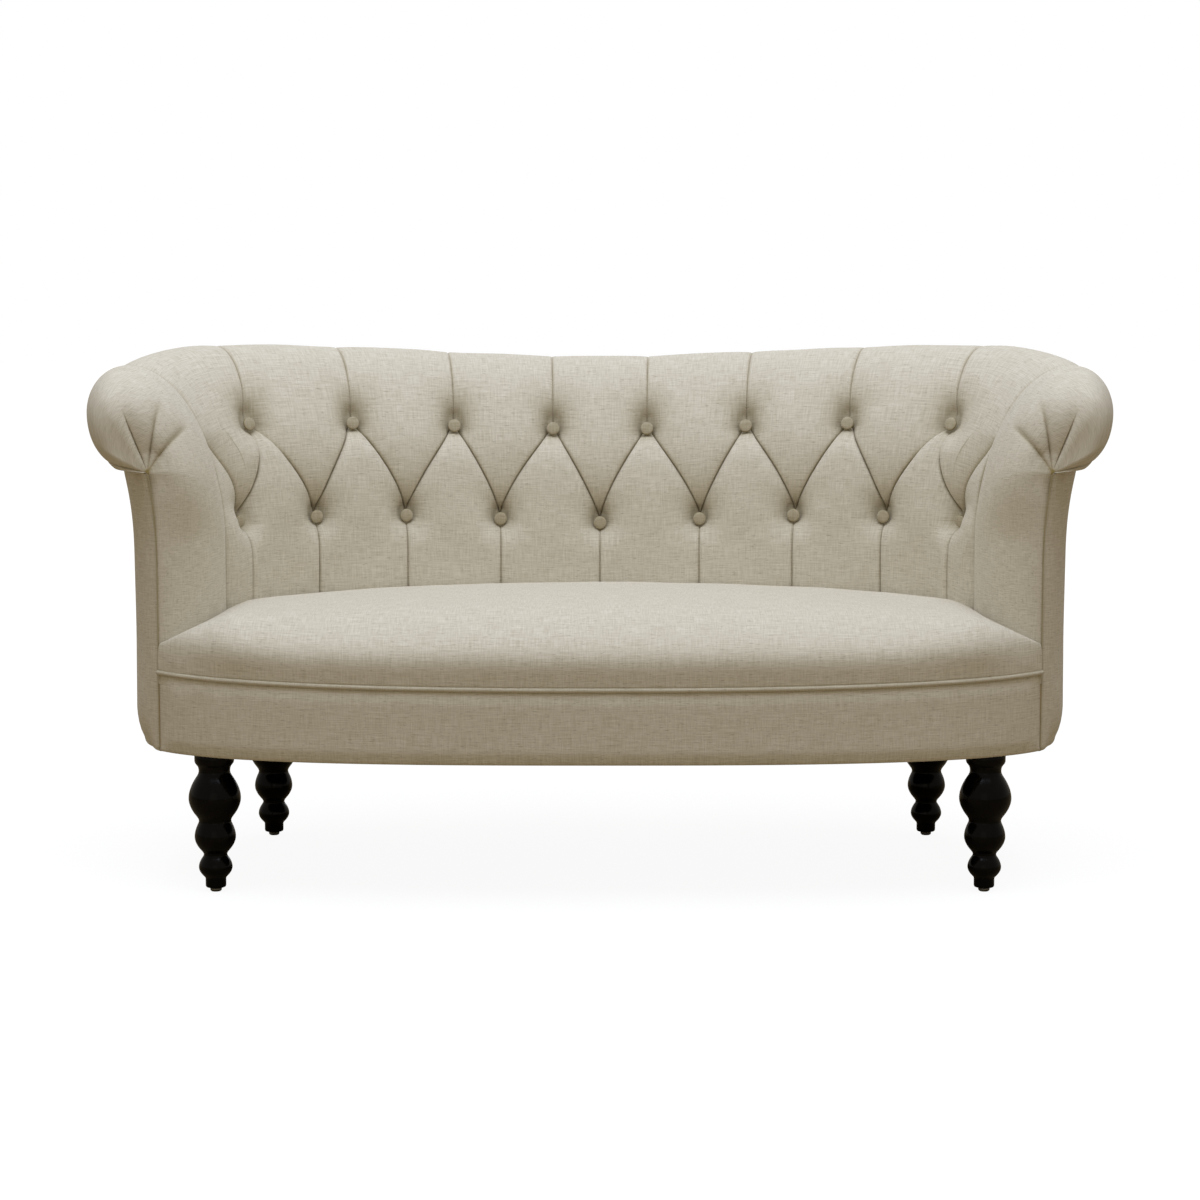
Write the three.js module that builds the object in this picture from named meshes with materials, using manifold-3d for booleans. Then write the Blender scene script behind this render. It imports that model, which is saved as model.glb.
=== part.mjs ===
// Tufted settee with an oval body, a scrolled back that runs on into the arms, and four turned legs.
// Millimetres, +Z up. The front faces -Y, the floor is at Z 0 and the origin is under the middle.
import * as THREE from 'three';
import { mergeVertices } from 'three/addons/utils/BufferGeometryUtils.js';
import Module from 'manifold-3d';

const wasm = await Module();
wasm.setup();

// Clearance between pieces that touch, and how far a cut runs past what it cuts
const seatGap = 0.3;
const overrun = 20;

// Body outline in plan: a rounded oval, the rear and front halves joined at the arm line
const bodyHalfWidth = 698;
const rearDepth = 355;
const frontDepth = 306;
const rearExponentShare = 3;
const frontExponentShare = 2.9;
const frontCornerInset = 50;
const frontCornerX = bodyHalfWidth - frontCornerInset;

// Inner face of the back and arms in plan
const armWidth = 132;
const innerHalfWidth = bodyHalfWidth - armWidth;
const innerDepth = 225;
const innerExponentShare = 2.2;

// Heights
const legHeight = 197;
const glideHeight = 6;
const seatBackHeight = 414;
const armTopHeight = 765;
const cornerTopHeight = 789;
const backTopHeight = 768;

// Levels up the wall, as shares of the way from the seat to the top there. The lower buttons climb a
// little from the middle of the back.
const faceStraightShare = 0.257;
const lowerButtonShare = 0.268;
const upperButtonShare = 0.697;
const lowerButtonClimb = 11;
const lowerClimbShare = 0.46;

// Scroll along the top of the back and arms
const scrollOverhang = 62;
const scrollCrest = 10;
const scrollHeight = 153;
const backLean = 34;
const leanEaseShare = 0.75;
const panelFlare = 15;
const panelFlareHeight = 130;
const scrollEndAngle = THREE.MathUtils.degToRad(-70);

// Places round the back of the padding, shared by the hessian and the scroll rail that it lies on
const hessianAngles = [0, 20, 40].map(THREE.MathUtils.degToRad);
const railStartAngle = THREE.MathUtils.degToRad(60);
const railAngles = [railStartAngle, THREE.MathUtils.degToRad(75), Math.PI / 2];
const rollAngles = [Math.PI / 2, Math.PI / 4, 0, -Math.PI / 4, scrollEndAngle];

// Padding
const facePadding = 44;
const scrollPadding = 26;
const pitDepth = 24;
const pitRimDepth = 6;
const pitRimShare = 0.4;
const foldDepth = 11;
const lowerPleatDepth = 7;
const upperPleatDepth = 10;
const buttonRadius = 11;
const buttonDome = 5;
const buttonShank = 13;
const buttonShankRadius = 1;

// Half steps of the button grid, as shares of the inner face from the back centre to the arm line
const buttonStepShares = [0, 0.111, 0.238, 0.341, 0.461, 0.574, 0.675, 0.808, 0.872, 1];

// The pads of the back and the arms meet at this upper button
const cornerColumn = 7;
const cornerShare = buttonStepShares[cornerColumn];
const lastColumn = buttonStepShares.length - 1;

// Rings of the padding to a half step, so that its folds lie along whole edges
const tuftSteps = 3;

// Cloth, board and timber
const panelThickness = 3;
const weltRadius = 3.6;
const hessianThickness = 2;
const hessianTopShare = 0.9;
const dustCoverThickness = 1.2;
const railThickness = 22;
const railHeight = 96;
const tackRailThickness = 22;
const tackRailHeight = 45;
const tackRailLift = 28;
const postWidth = 50;
const postDepth = 42;
const cornerPostShare = 0.84;
const armPostDepth = 58;
const armPostWidth = 40;
const armPostInset = 66;
const armPostX = bodyHalfWidth - armPostInset;
const armPostSetback = 92;
const blockLength = 92;
const blockThickness = 62;
const blockHeight = 82;

// Seat
const webWidth = 50;
const webThickness = 2;
const webLap = 12;
const lengthStrapShares = [-0.58, -0.35, -0.12, 0.12, 0.35, 0.58];
const crossStrapShares = [-0.46, -0.05, 0.14, 0.63];
const seatCoverThickness = 8;
const seatCrown = 8;
const seatSideFallShare = 0.136;
const seatCornerFallShare = 0.35;
const seatCornerRun = 108;
const seatCornerExponentShare = 1.2;
const seatFrontRadius = 130;
const seatCornerRadius = 14;
const seatRoundRun = 198;
const seatFrontExponentShare = 2.3;
const weltLift = 8;
const weltEndRise = 9;
const seatEndInset = 12;
const seatTuckGap = 1.5;
const seatPoints = 10;

// Arm fronts
const armFrontEdge = 3;
const armFrontEndShare = 0.985;
const softFrontExponentShare = 2;
const bluffFrontExponentShare = 3.2;
const fanPleatDepth = 4;

// Turned legs, ball by ball, as radius and height of each place on the profile
const frontLegInset = 135;
const legX = bodyHalfWidth - frontLegInset;
const frontLegSetback = 36;
const rearLegInset = 171;
const rearLegX = bodyHalfWidth - rearLegInset;
const rearLegSetback = 55;
const collarRadius = 27;
const collarHeight = 8;
const topNeckRadius = 22;
const topNeckHeight = 186;
const bigBallRadius = 38;
const bigBallHeight = 138;
const upperNeckRadius = 22;
const upperNeckHeight = 105;
const middleBallRadius = 30;
const middleBallHeight = 81;
const lowerNeckRadius = 16.5;
const lowerNeckHeight = 55;
const smallBallRadius = 24.5;
const smallBallHeight = 36;
const footRadius = 15;
const footHeight = 19;
const glideRadius = 8;
const glidePinRadius = 2;
const glidePinLength = 16;
const studRadius = 4;
const studLength = 48;
const ballBluffShare = 0.7;
const legSides = 16;
const glideSides = 12;

// Linen, timber, ebonised wood, steel and the inner cloths
const clothRoughness = 0.9;
const timberRoughness = 0.7;
const polishRoughness = 0.25;
const steelRoughness = 0.35;
const linenColour = 0xc4bba4;
const linenFrontColour = 0xb0a68c;
const timberColour = 0xc9a878;
const ebonyColour = 0x17110f;
const steelColour = 0x8d9094;
const hessianColour = 0xa98f62;
const foamColour = 0xe9dfae;
const cambricColour = 0x1d1d1e;

// Derived levels
const bodyBottom = glideHeight + legHeight;
const dustCoverTop = bodyBottom + dustCoverThickness;
const railBottom = dustCoverTop + seatGap;
const railTop = railBottom + railHeight;
const webTop = railTop + seatGap + webThickness;
const padBottom = webTop + seatGap;
const weltHeight = webTop + weltLift;
const cushionRise = seatBackHeight - weltHeight;
const seatSideFall = seatSideFallShare * cushionRise;
const scrollHalfHeight = scrollHeight / 2;
const scrollRisenShare = 1 - scrollHalfHeight / (backTopHeight - seatBackHeight);
const rearReach = rearDepth + scrollOverhang + backLean * scrollRisenShare;
const armLineY = (frontDepth + weltRadius - rearReach) / 2;
const frontCornerY = armLineY - frontDepth * superWidth(frontCornerX / bodyHalfWidth, frontExponentShare);

const group = new THREE.Group();

// Small maths used all over the part

function superWidth(share, exponent) {
  return Math.pow(Math.max(0, 1 - Math.pow(Math.abs(share), exponent)), 1 / exponent);
}

function ease(share) {
  const held = THREE.MathUtils.clamp(share, 0, 1);
  return held * held * (3 - 2 * held);
}

function steps(count, from = 0, to = 1) {
  return Array.from({ length: count + 1 }, (_, i) => from + ((to - from) * i) / count);
}

function gradientNormal(x, y, depth, exponent) {
  const nx = Math.sign(x) * Math.pow(Math.abs(x) / bodyHalfWidth, exponent - 1) / bodyHalfWidth;
  const ny = Math.sign(y - armLineY) * Math.pow(Math.abs(y - armLineY) / depth, exponent - 1) / depth;
  const length = Math.hypot(nx, ny);
  return [nx / length, ny / length];
}

// Stations across the wall of the back and arms: a place on the inner face, square to it in plan

const arcAngles = steps(720, 0, Math.PI / 2);
const arcLengths = measureInnerArc();

function innerPoint(angle) {
  const power = 2 / innerExponentShare;
  const x = innerHalfWidth * Math.pow(Math.max(0, Math.sin(angle)), power);
  const y = armLineY + innerDepth * Math.pow(Math.max(0, Math.cos(angle)), power);
  return [x, y];
}

function measureInnerArc() {
  const lengths = [0];
  for (let i = 1; i < arcAngles.length; i += 1) {
    const [x0, y0] = innerPoint(arcAngles[i - 1]);
    const [x1, y1] = innerPoint(arcAngles[i]);
    lengths.push(lengths[i - 1] + Math.hypot(x1 - x0, y1 - y0));
  }
  return lengths;
}

function innerAngle(share) {
  const wanted = Math.min(Math.abs(share), 1) * arcLengths.at(-1);
  const next = Math.max(1, arcLengths.findIndex((length) => length >= wanted - 1e-9));
  const span = arcLengths[next] - arcLengths[next - 1];
  const part = (wanted - arcLengths[next - 1]) / span;
  return THREE.MathUtils.lerp(arcAngles[next - 1], arcAngles[next], part);
}

// The wall is as thick as the way from the inner face to the body outline
function wallAt(x, y, dx, dy) {
  let near = 0;
  let far = rearDepth;
  for (let i = 0; i < 40; i += 1) {
    const middle = (near + far) / 2;
    const across = Math.abs(x + dx * middle) / bodyHalfWidth;
    const along = Math.abs(y + dy * middle - armLineY) / rearDepth;
    const inside = Math.pow(across, rearExponentShare) + Math.pow(along, rearExponentShare) < 1;
    near = inside ? middle : near;
    far = inside ? far : middle;
  }
  return near;
}

// The crest line climbs from the arms to the corner seams and dips at the back centre
function topAt(share) {
  const reach = Math.abs(share);
  const fromArm = ease((1 - reach) / (1 - cornerShare));
  const fromBack = ease(reach / cornerShare);
  const armSide = THREE.MathUtils.lerp(armTopHeight, cornerTopHeight, fromArm);
  const backSide = THREE.MathUtils.lerp(backTopHeight, cornerTopHeight, fromBack);
  return reach > cornerShare ? armSide : backSide;
}

function station(share) {
  const side = share < 0 ? -1 : 1;
  const angle = innerAngle(share);
  const [x, y] = innerPoint(angle);
  const power = innerExponentShare - 1;
  const nx = Math.pow(x / innerHalfWidth, power) / innerHalfWidth;
  const ny = Math.pow(Math.max(0, y - armLineY) / innerDepth, power) / innerDepth;
  const length = Math.hypot(nx, ny);
  const dx = nx / length;
  const dy = ny / length;
  const lean = backLean * ease((1 - Math.abs(share)) / leanEaseShare);
  const wall = wallAt(x, y, dx, dy);
  const climb = lowerButtonClimb * ease(Math.abs(share) / lowerClimbShare);
  return { x: side * x, y, dx: side * dx, dy, wall, top: topAt(share), lean, climb };
}

function levelAt(at, share) {
  return THREE.MathUtils.lerp(seatBackHeight, at.top, share);
}

// Where a station's section point lies in the room; the upper part leans back with the wall
function place(at, [across, height]) {
  const risen = Math.max(0, height - seatBackHeight) / (at.top - seatBackHeight);
  const reach = across + at.lean * risen;
  return [at.x + at.dx * reach, at.y + at.dy * reach, height];
}

// The section of the wall: a straight face, a curve up to the crest and a scroll over the outside

function crestPoint(at, angle, padding = 0) {
  const reach = at.wall + scrollCrest;
  const straight = levelAt(at, faceStraightShare);
  const faceInset = padding > 0 ? facePadding + padding - scrollPadding : 0;
  const across = reach - (reach - faceInset) * Math.cos(angle);
  return [across, straight + (at.top - straight - padding) * Math.sin(angle)];
}

function crestAngle(at, height) {
  const straight = levelAt(at, faceStraightShare);
  return Math.asin(THREE.MathUtils.clamp((height - straight) / (at.top - straight), 0, 1));
}

function facePoint(at, height) {
  const straight = levelAt(at, faceStraightShare);
  return height > straight ? crestPoint(at, crestAngle(at, height)) : [0, height];
}

function scrollPoint(at, angle, padding = 0) {
  const across = (scrollOverhang - scrollCrest - padding) * Math.cos(angle);
  const up = (scrollHalfHeight - padding) * Math.sin(angle);
  return [at.wall + scrollCrest + across, at.top - scrollHalfHeight + up];
}

function panelOffset(height, top) {
  const start = top - scrollHeight - panelFlareHeight;
  return panelFlare * Math.pow(Math.max(0, (height - start) / panelFlareHeight), 2);
}

// Closed solids from rings of points

function meshFrom(points, triangles) {
  let volume = 0;
  const a = new THREE.Vector3();
  const b = new THREE.Vector3();
  const c = new THREE.Vector3();
  for (const [i, j, k] of triangles) {
    a.fromArray(points[i]);
    b.fromArray(points[j]);
    c.fromArray(points[k]);
    volume += a.dot(b.cross(c));
  }
  const faces = volume < 0 ? triangles.map(([i, j, k]) => [i, k, j]) : triangles;
  const geometry = new THREE.BufferGeometry();
  geometry.setAttribute('position', new THREE.Float32BufferAttribute(points.flat(), 3));
  geometry.setIndex(faces.flat());
  return geometry;
}

// The flat end of a loft, triangulated in its own upright or level plane
function capTriangles(ring, first) {
  const xs = ring.map((p) => p[0]);
  const ys = ring.map((p) => p[1]);
  const zs = ring.map((p) => p[2]);
  const span = (list) => Math.max(...list) - Math.min(...list);
  const level = span(zs) < 1e-6;
  const alongX = span(xs) > span(ys);
  const flat = ring.map((p) => {
    if (level) return new THREE.Vector2(p[0], p[1]);
    return new THREE.Vector2(alongX ? p[0] : p[1], p[2]);
  });
  return THREE.ShapeUtils.triangulateShape(flat, []).map((face) => face.map((i) => i + first));
}

function loft(rings, leftDiagonal = () => false) {
  const size = rings[0].length;
  const triangles = [];
  for (let i = 0; i < rings.length - 1; i += 1) {
    for (let j = 0; j < size; j += 1) {
      const next = (j + 1) % size;
      const a = i * size + j;
      const b = i * size + next;
      const c = (i + 1) * size + next;
      const d = (i + 1) * size + j;
      const split = leftDiagonal(i, j) ? [[a, b, d], [b, c, d]] : [[a, b, c], [a, c, d]];
      triangles.push(...split);
    }
  }
  const last = (rings.length - 1) * size;
  const turned = orientedCaps(rings[0], rings.at(-1), last, triangles);
  return meshFrom(rings.flat(), turned);
}

// Each cap is turned so that its rim runs against the wall beside it
function orientedCaps(firstRing, lastRing, last, wall) {
  const edgesOf = ([i, j, k]) => [`${i}_${j}`, `${j}_${k}`, `${k}_${i}`];
  const directed = new Set(wall.flatMap(edgesOf));
  const caps = [capTriangles(firstRing, 0), capTriangles(lastRing, last)];
  const faces = caps.flatMap((cap) => {
    const clash = cap.flatMap(edgesOf).some((edge) => directed.has(edge));
    return clash ? cap.map(([i, j, k]) => [i, k, j]) : cap;
  });
  return wall.concat(faces);
}

function solidOf(geometry) {
  const bare = geometry.clone();
  for (const name of Object.keys(bare.attributes)) {
    if (name !== 'position') bare.deleteAttribute(name);
  }
  const merged = mergeVertices(bare, 1e-3);
  const vertProperties = Float32Array.from(merged.attributes.position.array);
  const triVerts = Uint32Array.from(merged.index.array);
  return new wasm.Manifold(new wasm.Mesh({ numProp: 3, vertProperties, triVerts }));
}

function geometryOf(solid) {
  const made = solid.getMesh();
  const geometry = new THREE.BufferGeometry();
  geometry.setAttribute('position', new THREE.Float32BufferAttribute(made.vertProperties, 3));
  geometry.setIndex(Array.from(made.triVerts));
  return geometry;
}

function add(name, geometry, colour, roughness = clothRoughness, metalness = 0) {
  const material = new THREE.MeshStandardMaterial({ color: colour, roughness, metalness });
  const mesh = new THREE.Mesh(geometry, material);
  mesh.name = name;
  group.add(mesh);
  return mesh;
}

// A column is a whole number at each button: even on the lower row, odd on the upper row
function columnShare(column) {
  const reach = Math.abs(column);
  const low = Math.min(Math.floor(reach), lastColumn - 1);
  const [from, to] = buttonStepShares.slice(low, low + 2);
  return Math.sign(column) * THREE.MathUtils.lerp(from, to, reach - low);
}

// Sweep of a wall section between two columns, with its rings where the padding has its own. The
// facets split alike on the near and far sides of the ring, whose first points run up the wall.
function sweepWall(from, to, ringAt, upwardPoints = 0, trim = 0) {
  const columns = steps(Math.abs(to - from) * tuftSteps, Math.min(from, to), Math.max(from, to));
  const rings = columns.map((column, i) => {
    const trimmed = i === 0 ? column + trim : i === columns.length - 1 ? column - trim : column;
    const at = station(columnShare(trimmed));
    return ringAt(at, column).map((point) => place(at, point));
  });
  return loft(rings, (i, j) => {
    const leftward = Math.floor((columns[i] + columns[i + 1]) / 2) % 2 !== 0;
    return leftward === j < upwardPoints;
  });
}

// Frames on the body outline, square to it: the rear half by share, the arm front by depth
function outlineFrame(share) {
  const at = station(share);
  const x = at.x + at.dx * at.wall;
  const y = at.y + at.dy * at.wall;
  const [nx, ny] = gradientNormal(x, y, rearDepth, rearExponentShare);
  return { x, y, nx, ny, top: at.top, lean: at.lean };
}

function armFrontFrame(side, y) {
  const x = side * bodyHalfWidth * superWidth((y - armLineY) / frontDepth, frontExponentShare);
  const [nx, ny] = y < armLineY ? gradientNormal(x, y, frontDepth, frontExponentShare) : [side, 0];
  return { x, y, nx, ny, top: armTopHeight, lean: 0 };
}

function frontFrame(x) {
  const y = armLineY - frontDepth * superWidth(x / bodyHalfWidth, frontExponentShare);
  const [nx, ny] = gradientNormal(x, y, frontDepth, frontExponentShare);
  return { x, y, nx, ny };
}

function onFrame(frame, [out, height]) {
  return [frame.x + frame.nx * out, frame.y + frame.ny * out, height];
}

function sweepFrames(frames, ringAt) {
  return loft(frames.map((frame) => ringAt(frame).map((point) => onFrame(frame, point))));
}

function rectangle(inner, outer, bottom, top) {
  return [[inner, bottom], [outer, bottom], [outer, top], [inner, top]];
}

// Turned legs, one profile from the glide pin's bore up to the stud that holds the leg
function legGeometry() {
  const boreRadius = glidePinRadius + seatGap;
  const boreTop = glideHeight + glidePinLength + seatGap;
  const top = bodyBottom - seatGap;
  const profile = [];
  const put = (radius, height) => profile.push(new THREE.Vector2(radius, height));
  // A ball from the neck below it to just short of the neck above, each running into the next
  const ball = (radius, height, below, above) => {
    const [lowRadius, lowHeight] = below;
    const [highRadius, highHeight] = above;
    for (const turn of steps(6, -1, 1).slice(0, -1)) {
      const neck = turn < 0 ? lowRadius : highRadius;
      const reach = turn < 0 ? height - lowHeight : highHeight - height;
      const fullness = Math.pow((1 + Math.cos(turn * Math.PI)) / 2, ballBluffShare);
      put(neck + (radius - neck) * fullness, height + reach * turn);
    }
  };
  put(0, boreTop);
  put(boreRadius, boreTop);
  put(boreRadius, glideHeight);
  put(footRadius, glideHeight);
  ball(smallBallRadius, smallBallHeight, [footRadius, footHeight], [lowerNeckRadius, lowerNeckHeight]);
  const lowerNeck = [lowerNeckRadius, lowerNeckHeight];
  const upperNeck = [upperNeckRadius, upperNeckHeight];
  ball(middleBallRadius, middleBallHeight, lowerNeck, upperNeck);
  ball(bigBallRadius, bigBallHeight, upperNeck, [topNeckRadius, topNeckHeight]);
  put(topNeckRadius, topNeckHeight);
  put(collarRadius, top - collarHeight);
  put(collarRadius, top);
  put(studRadius, top);
  put(studRadius, top + studLength);
  put(0, top + studLength);
  return new THREE.LatheGeometry(profile, legSides);
}

function glideGeometry() {
  const underLeg = glideHeight - seatGap;
  const profile = [
    new THREE.Vector2(0, 0),
    new THREE.Vector2(glideRadius, 0),
    new THREE.Vector2(glideRadius, underLeg),
    new THREE.Vector2(glidePinRadius, underLeg),
    new THREE.Vector2(glidePinRadius, glideHeight + glidePinLength),
    new THREE.Vector2(0, glideHeight + glidePinLength),
  ];
  return new THREE.LatheGeometry(profile, glideSides);
}

const frontLegY = frontFrame(legX).y + frontLegSetback;
const rearLegReach = rearDepth * superWidth(rearLegX / bodyHalfWidth, rearExponentShare);
const rearLegY = armLineY + rearLegReach - rearLegSetback;
const legPlaces = [
  { name: 'front_left', x: -legX, y: frontLegY },
  { name: 'front_right', x: legX, y: frontLegY },
  { name: 'rear_left', x: -rearLegX, y: rearLegY },
  { name: 'rear_right', x: rearLegX, y: rearLegY },
];

for (const { name, x, y } of legPlaces) {
  const leg = add(`leg_${name}`, standing(legGeometry()), ebonyColour, polishRoughness);
  leg.position.set(x, y, 0);
  const glide = add(`glide_${name}`, standing(glideGeometry()), steelColour, steelRoughness, 1);
  glide.position.set(x, y, 0);
}

// Lathe and cylinder geometries stand along Y, so they are turned to stand along Z
function standing(geometry) {
  return geometry.rotateX(Math.PI / 2);
}

function studHole(x, y, radius) {
  const hole = standing(new THREE.CylinderGeometry(radius, radius, 2 * (railHeight + overrun), 16));
  return solidOf(hole.translate(x, y, bodyBottom));
}

// Rails of the seat frame, sawn to the outline
const railOuter = -panelThickness - seatGap;
const railInner = railOuter - railThickness;
const railRing = () => rectangle(railInner, railOuter, railBottom, railTop);

function frontFrames(count, half = frontCornerX) {
  return steps(count, -1, 1).map((turn) => frontFrame(half * Math.sin((turn * Math.PI) / 2)));
}

function sideFrames(side, setback = seatGap) {
  const start = frontCornerY + setback;
  const forward = steps(6, start, armLineY).map((y) => armFrontFrame(side, y));
  const rearward = steps(9, 1, cornerShare).slice(1).map((share) => outlineFrame(side * share));
  return forward.concat(rearward);
}

const rearShare = cornerShare - seatGap / arcLengths.at(-1);
const rearFrames = steps(20, -rearShare, rearShare).map(outlineFrame);
const sides = [['left', -1], ['right', 1]];

add('front_rail', sweepFrames(frontFrames(22), railRing), timberColour, timberRoughness);
add('rear_rail', sweepFrames(rearFrames, railRing), timberColour, timberRoughness);
for (const [name, side] of sides) {
  add(`side_rail_${name}`, sweepFrames(sideFrames(side), railRing), timberColour, timberRoughness);
}

// What stands inside the seat frame is cut to the inner side of its rails
const railPaths = [frontFrames(22), rearFrames, sideFrames(-1, 0), sideFrames(1, 0)];

function clearOfRails(geometry) {
  const ring = () => rectangle(railInner - seatGap, overrun, railBottom - overrun, railTop + seatGap);
  const cutters = railPaths.map((frames) => solidOf(sweepFrames(frames, ring)));
  return cutters.reduce((solid, cutter) => solid.subtract(cutter), solidOf(geometry));
}

// Corner blocks, fitted to the rails and bored for the leg studs
function cornerBlock({ x, y }) {
  const top = railBottom + blockHeight;
  const outer = railInner + seatGap;
  const half = blockLength / 2;
  const middle = nearestFrame(x, y);
  const frames = steps(6, -half, half).map((slide) => slideFrame(middle, slide));
  const ring = () => rectangle(railInner - blockThickness, outer, railBottom, top);
  const block = clearOfRails(sweepFrames(frames, ring));
  return geometryOf(block.subtract(studHole(x, y, studRadius + seatGap)));
}

// The outline frame nearest a point, looked for over the half that holds it
function nearestFrame(x, y) {
  const side = Math.sign(x);
  const front = y < armLineY;
  const candidates = steps(400).slice(1, -1).map((share) => {
    return front ? frontFrame(side * share * bodyHalfWidth) : outlineFrame(side * share);
  });
  const missing = (frame) => Math.hypot(frame.x - x, frame.y - y);
  return candidates.reduce((best, frame) => (missing(frame) < missing(best) ? frame : best));
}

// A frame a given way along the outline from another, found again on the outline
function slideFrame(frame, slide) {
  return nearestFrame(frame.x - frame.ny * slide, frame.y + frame.nx * slide);
}

for (const leg of legPlaces) {
  add(`corner_block_${leg.name}`, cornerBlock(leg), timberColour, timberRoughness);
}

// Hessian behind the padding, stretched from the seat frame to the scroll rails
const hessianInner = facePadding + 2 * seatGap;

// The line of the cloth up the wall, a given way behind the padding, stopping short of the scroll rail
function hessianLine(at, behind) {
  const curve = hessianAngles.map((angle) => crestPoint(at, angle, scrollPadding + 2 * seatGap));
  const last = crestPoint(at, railStartAngle, scrollPadding + 2 * seatGap);
  curve.push(curve.at(-1).map((value, i) => THREE.MathUtils.lerp(value, last[i], hessianTopShare)));
  const up = curve.map((point) => [point[0] + behind, point[1] - behind]);
  up[0] = [hessianInner + behind, levelAt(at, faceStraightShare)];
  const low = [padBottom, seatBackHeight].map((height) => [hessianInner + behind, height]);
  return [...low, ...up];
}

function hessianRing(at) {
  return [...hessianLine(at, 0), ...hessianLine(at, hessianThickness).reverse()];
}

add('hessian', sweepWall(-lastColumn, lastColumn, hessianRing, hessianAngles.length + 2), hessianColour);

// Posts and the stay, standing inside the rails and behind the hessian, up to the scroll rails
const tackInner = hessianInner + hessianThickness + seatGap;
const postInner = tackInner + tackRailThickness + 2 * seatGap;

function scrollRailBottom(at) {
  return at.top - scrollHeight + scrollPadding;
}

const hessianCutter = sweepWall(-lastColumn, lastColumn, (at) => {
  const line = hessianLine(at, hessianThickness + 3 * seatGap);
  return [[-overrun, padBottom], ...line, [-overrun, line.at(-1)[1]]];
}, hessianAngles.length + 3);

function postGeometry(share) {
  const halfShare = postWidth / 2 / arcLengths.at(-1);
  const rings = steps(2, share - halfShare, share + halfShare).map((spot) => {
    const at = station(spot);
    const ring = rectangle(postInner, postInner + postDepth, railBottom, scrollRailBottom(at) - overrun);
    return ring.map((point) => place(at, point));
  });
  return geometryOf(clearOfRails(loft(rings)).subtract(solidOf(hessianCutter)));
}

add('back_stay', postGeometry(0), timberColour, timberRoughness);
for (const [name, side] of sides) {
  add(`corner_post_${name}`, postGeometry(side * cornerPostShare), timberColour, timberRoughness);
}

// Scroll rails under the roll, shaped to the inside of its padding
function scrollRailRing(at, fit = scrollPadding + seatGap) {
  const crest = railAngles.map((angle) => crestPoint(at, angle, fit));
  const roll = rollAngles.slice(1).map((angle) => scrollPoint(at, angle, fit));
  return [[crest[0][0], scrollRailBottom(at) - scrollPadding - seatGap + fit], ...crest, ...roll];
}

// Pieces of the back stop just short of the corner seam, where those of the arms start
const cornerStepShare = buttonStepShares[cornerColumn] - buttonStepShares[cornerColumn - 1];
const trim = seatGap / (arcLengths.at(-1) * cornerStepShare);
const railPoints = railAngles.length + rollAngles.length;

const backScroll = sweepWall(-cornerColumn, cornerColumn, (at) => scrollRailRing(at), railPoints, trim);
add('back_scroll_rail', backScroll, timberColour, timberRoughness);

// Tacking rails, between the stay and the posts, where the inside covers are pulled through
function tackRing() {
  const bottom = padBottom + tackRailLift;
  return rectangle(tackInner, tackInner + tackRailThickness, bottom, bottom + tackRailHeight);
}

const backTack = sweepWall(-cornerColumn, cornerColumn, tackRing, 0, trim);
add('back_tack_rail', backTack, timberColour, timberRoughness);
for (const [name, side] of sides) {
  const tackRail = sweepWall(side * cornerColumn, side * lastColumn, tackRing);
  add(`arm_tack_rail_${name}`, tackRail, timberColour, timberRoughness);
}

// Padded inside of the back and arms, drawn in at the buttons and along the folds between them

const lowestRow = -2;
const crestSteps = 4;
const crestRow = tuftSteps + crestSteps;
const pleatEndRows = 3;
const scrollSteps = 5;

function rowHeight(at, row) {
  if (row === lowestRow) return seatBackHeight - seatSideFall;
  const lower = levelAt(at, lowerButtonShare) + at.climb;
  return THREE.MathUtils.lerp(lower, levelAt(at, upperButtonShare), row / tuftSteps);
}

// Way to the nearest button column of one row, in half steps
function wayTo(column, odd) {
  const shifted = Math.abs(column) + (odd ? 1 : 0);
  const rest = shifted % 2;
  return Math.min(rest, 2 - rest);
}

function tuftDepth(column, row) {
  const toLower = wayTo(column, false);
  const toUpper = wayTo(column, true);
  const near = 1e-6;
  if (row === 0 && toLower < near) return pitDepth;
  if (row === tuftSteps && toUpper < near) return pitDepth;
  if (row > 0 && row < tuftSteps && Math.abs(toLower - row / tuftSteps) < near) return foldDepth;
  if (row < 0 && toLower < near) return lowerPleatDepth;
  if (row > tuftSteps && toUpper < near) {
    return upperPleatDepth * (1 - ease((row - crestRow) / pleatEndRows));
  }
  const besideLower = row === 0 && toLower < pitRimShare;
  const besideUpper = row === tuftSteps && toUpper < pitRimShare;
  return besideLower || besideUpper ? pitRimDepth : 0;
}

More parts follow.
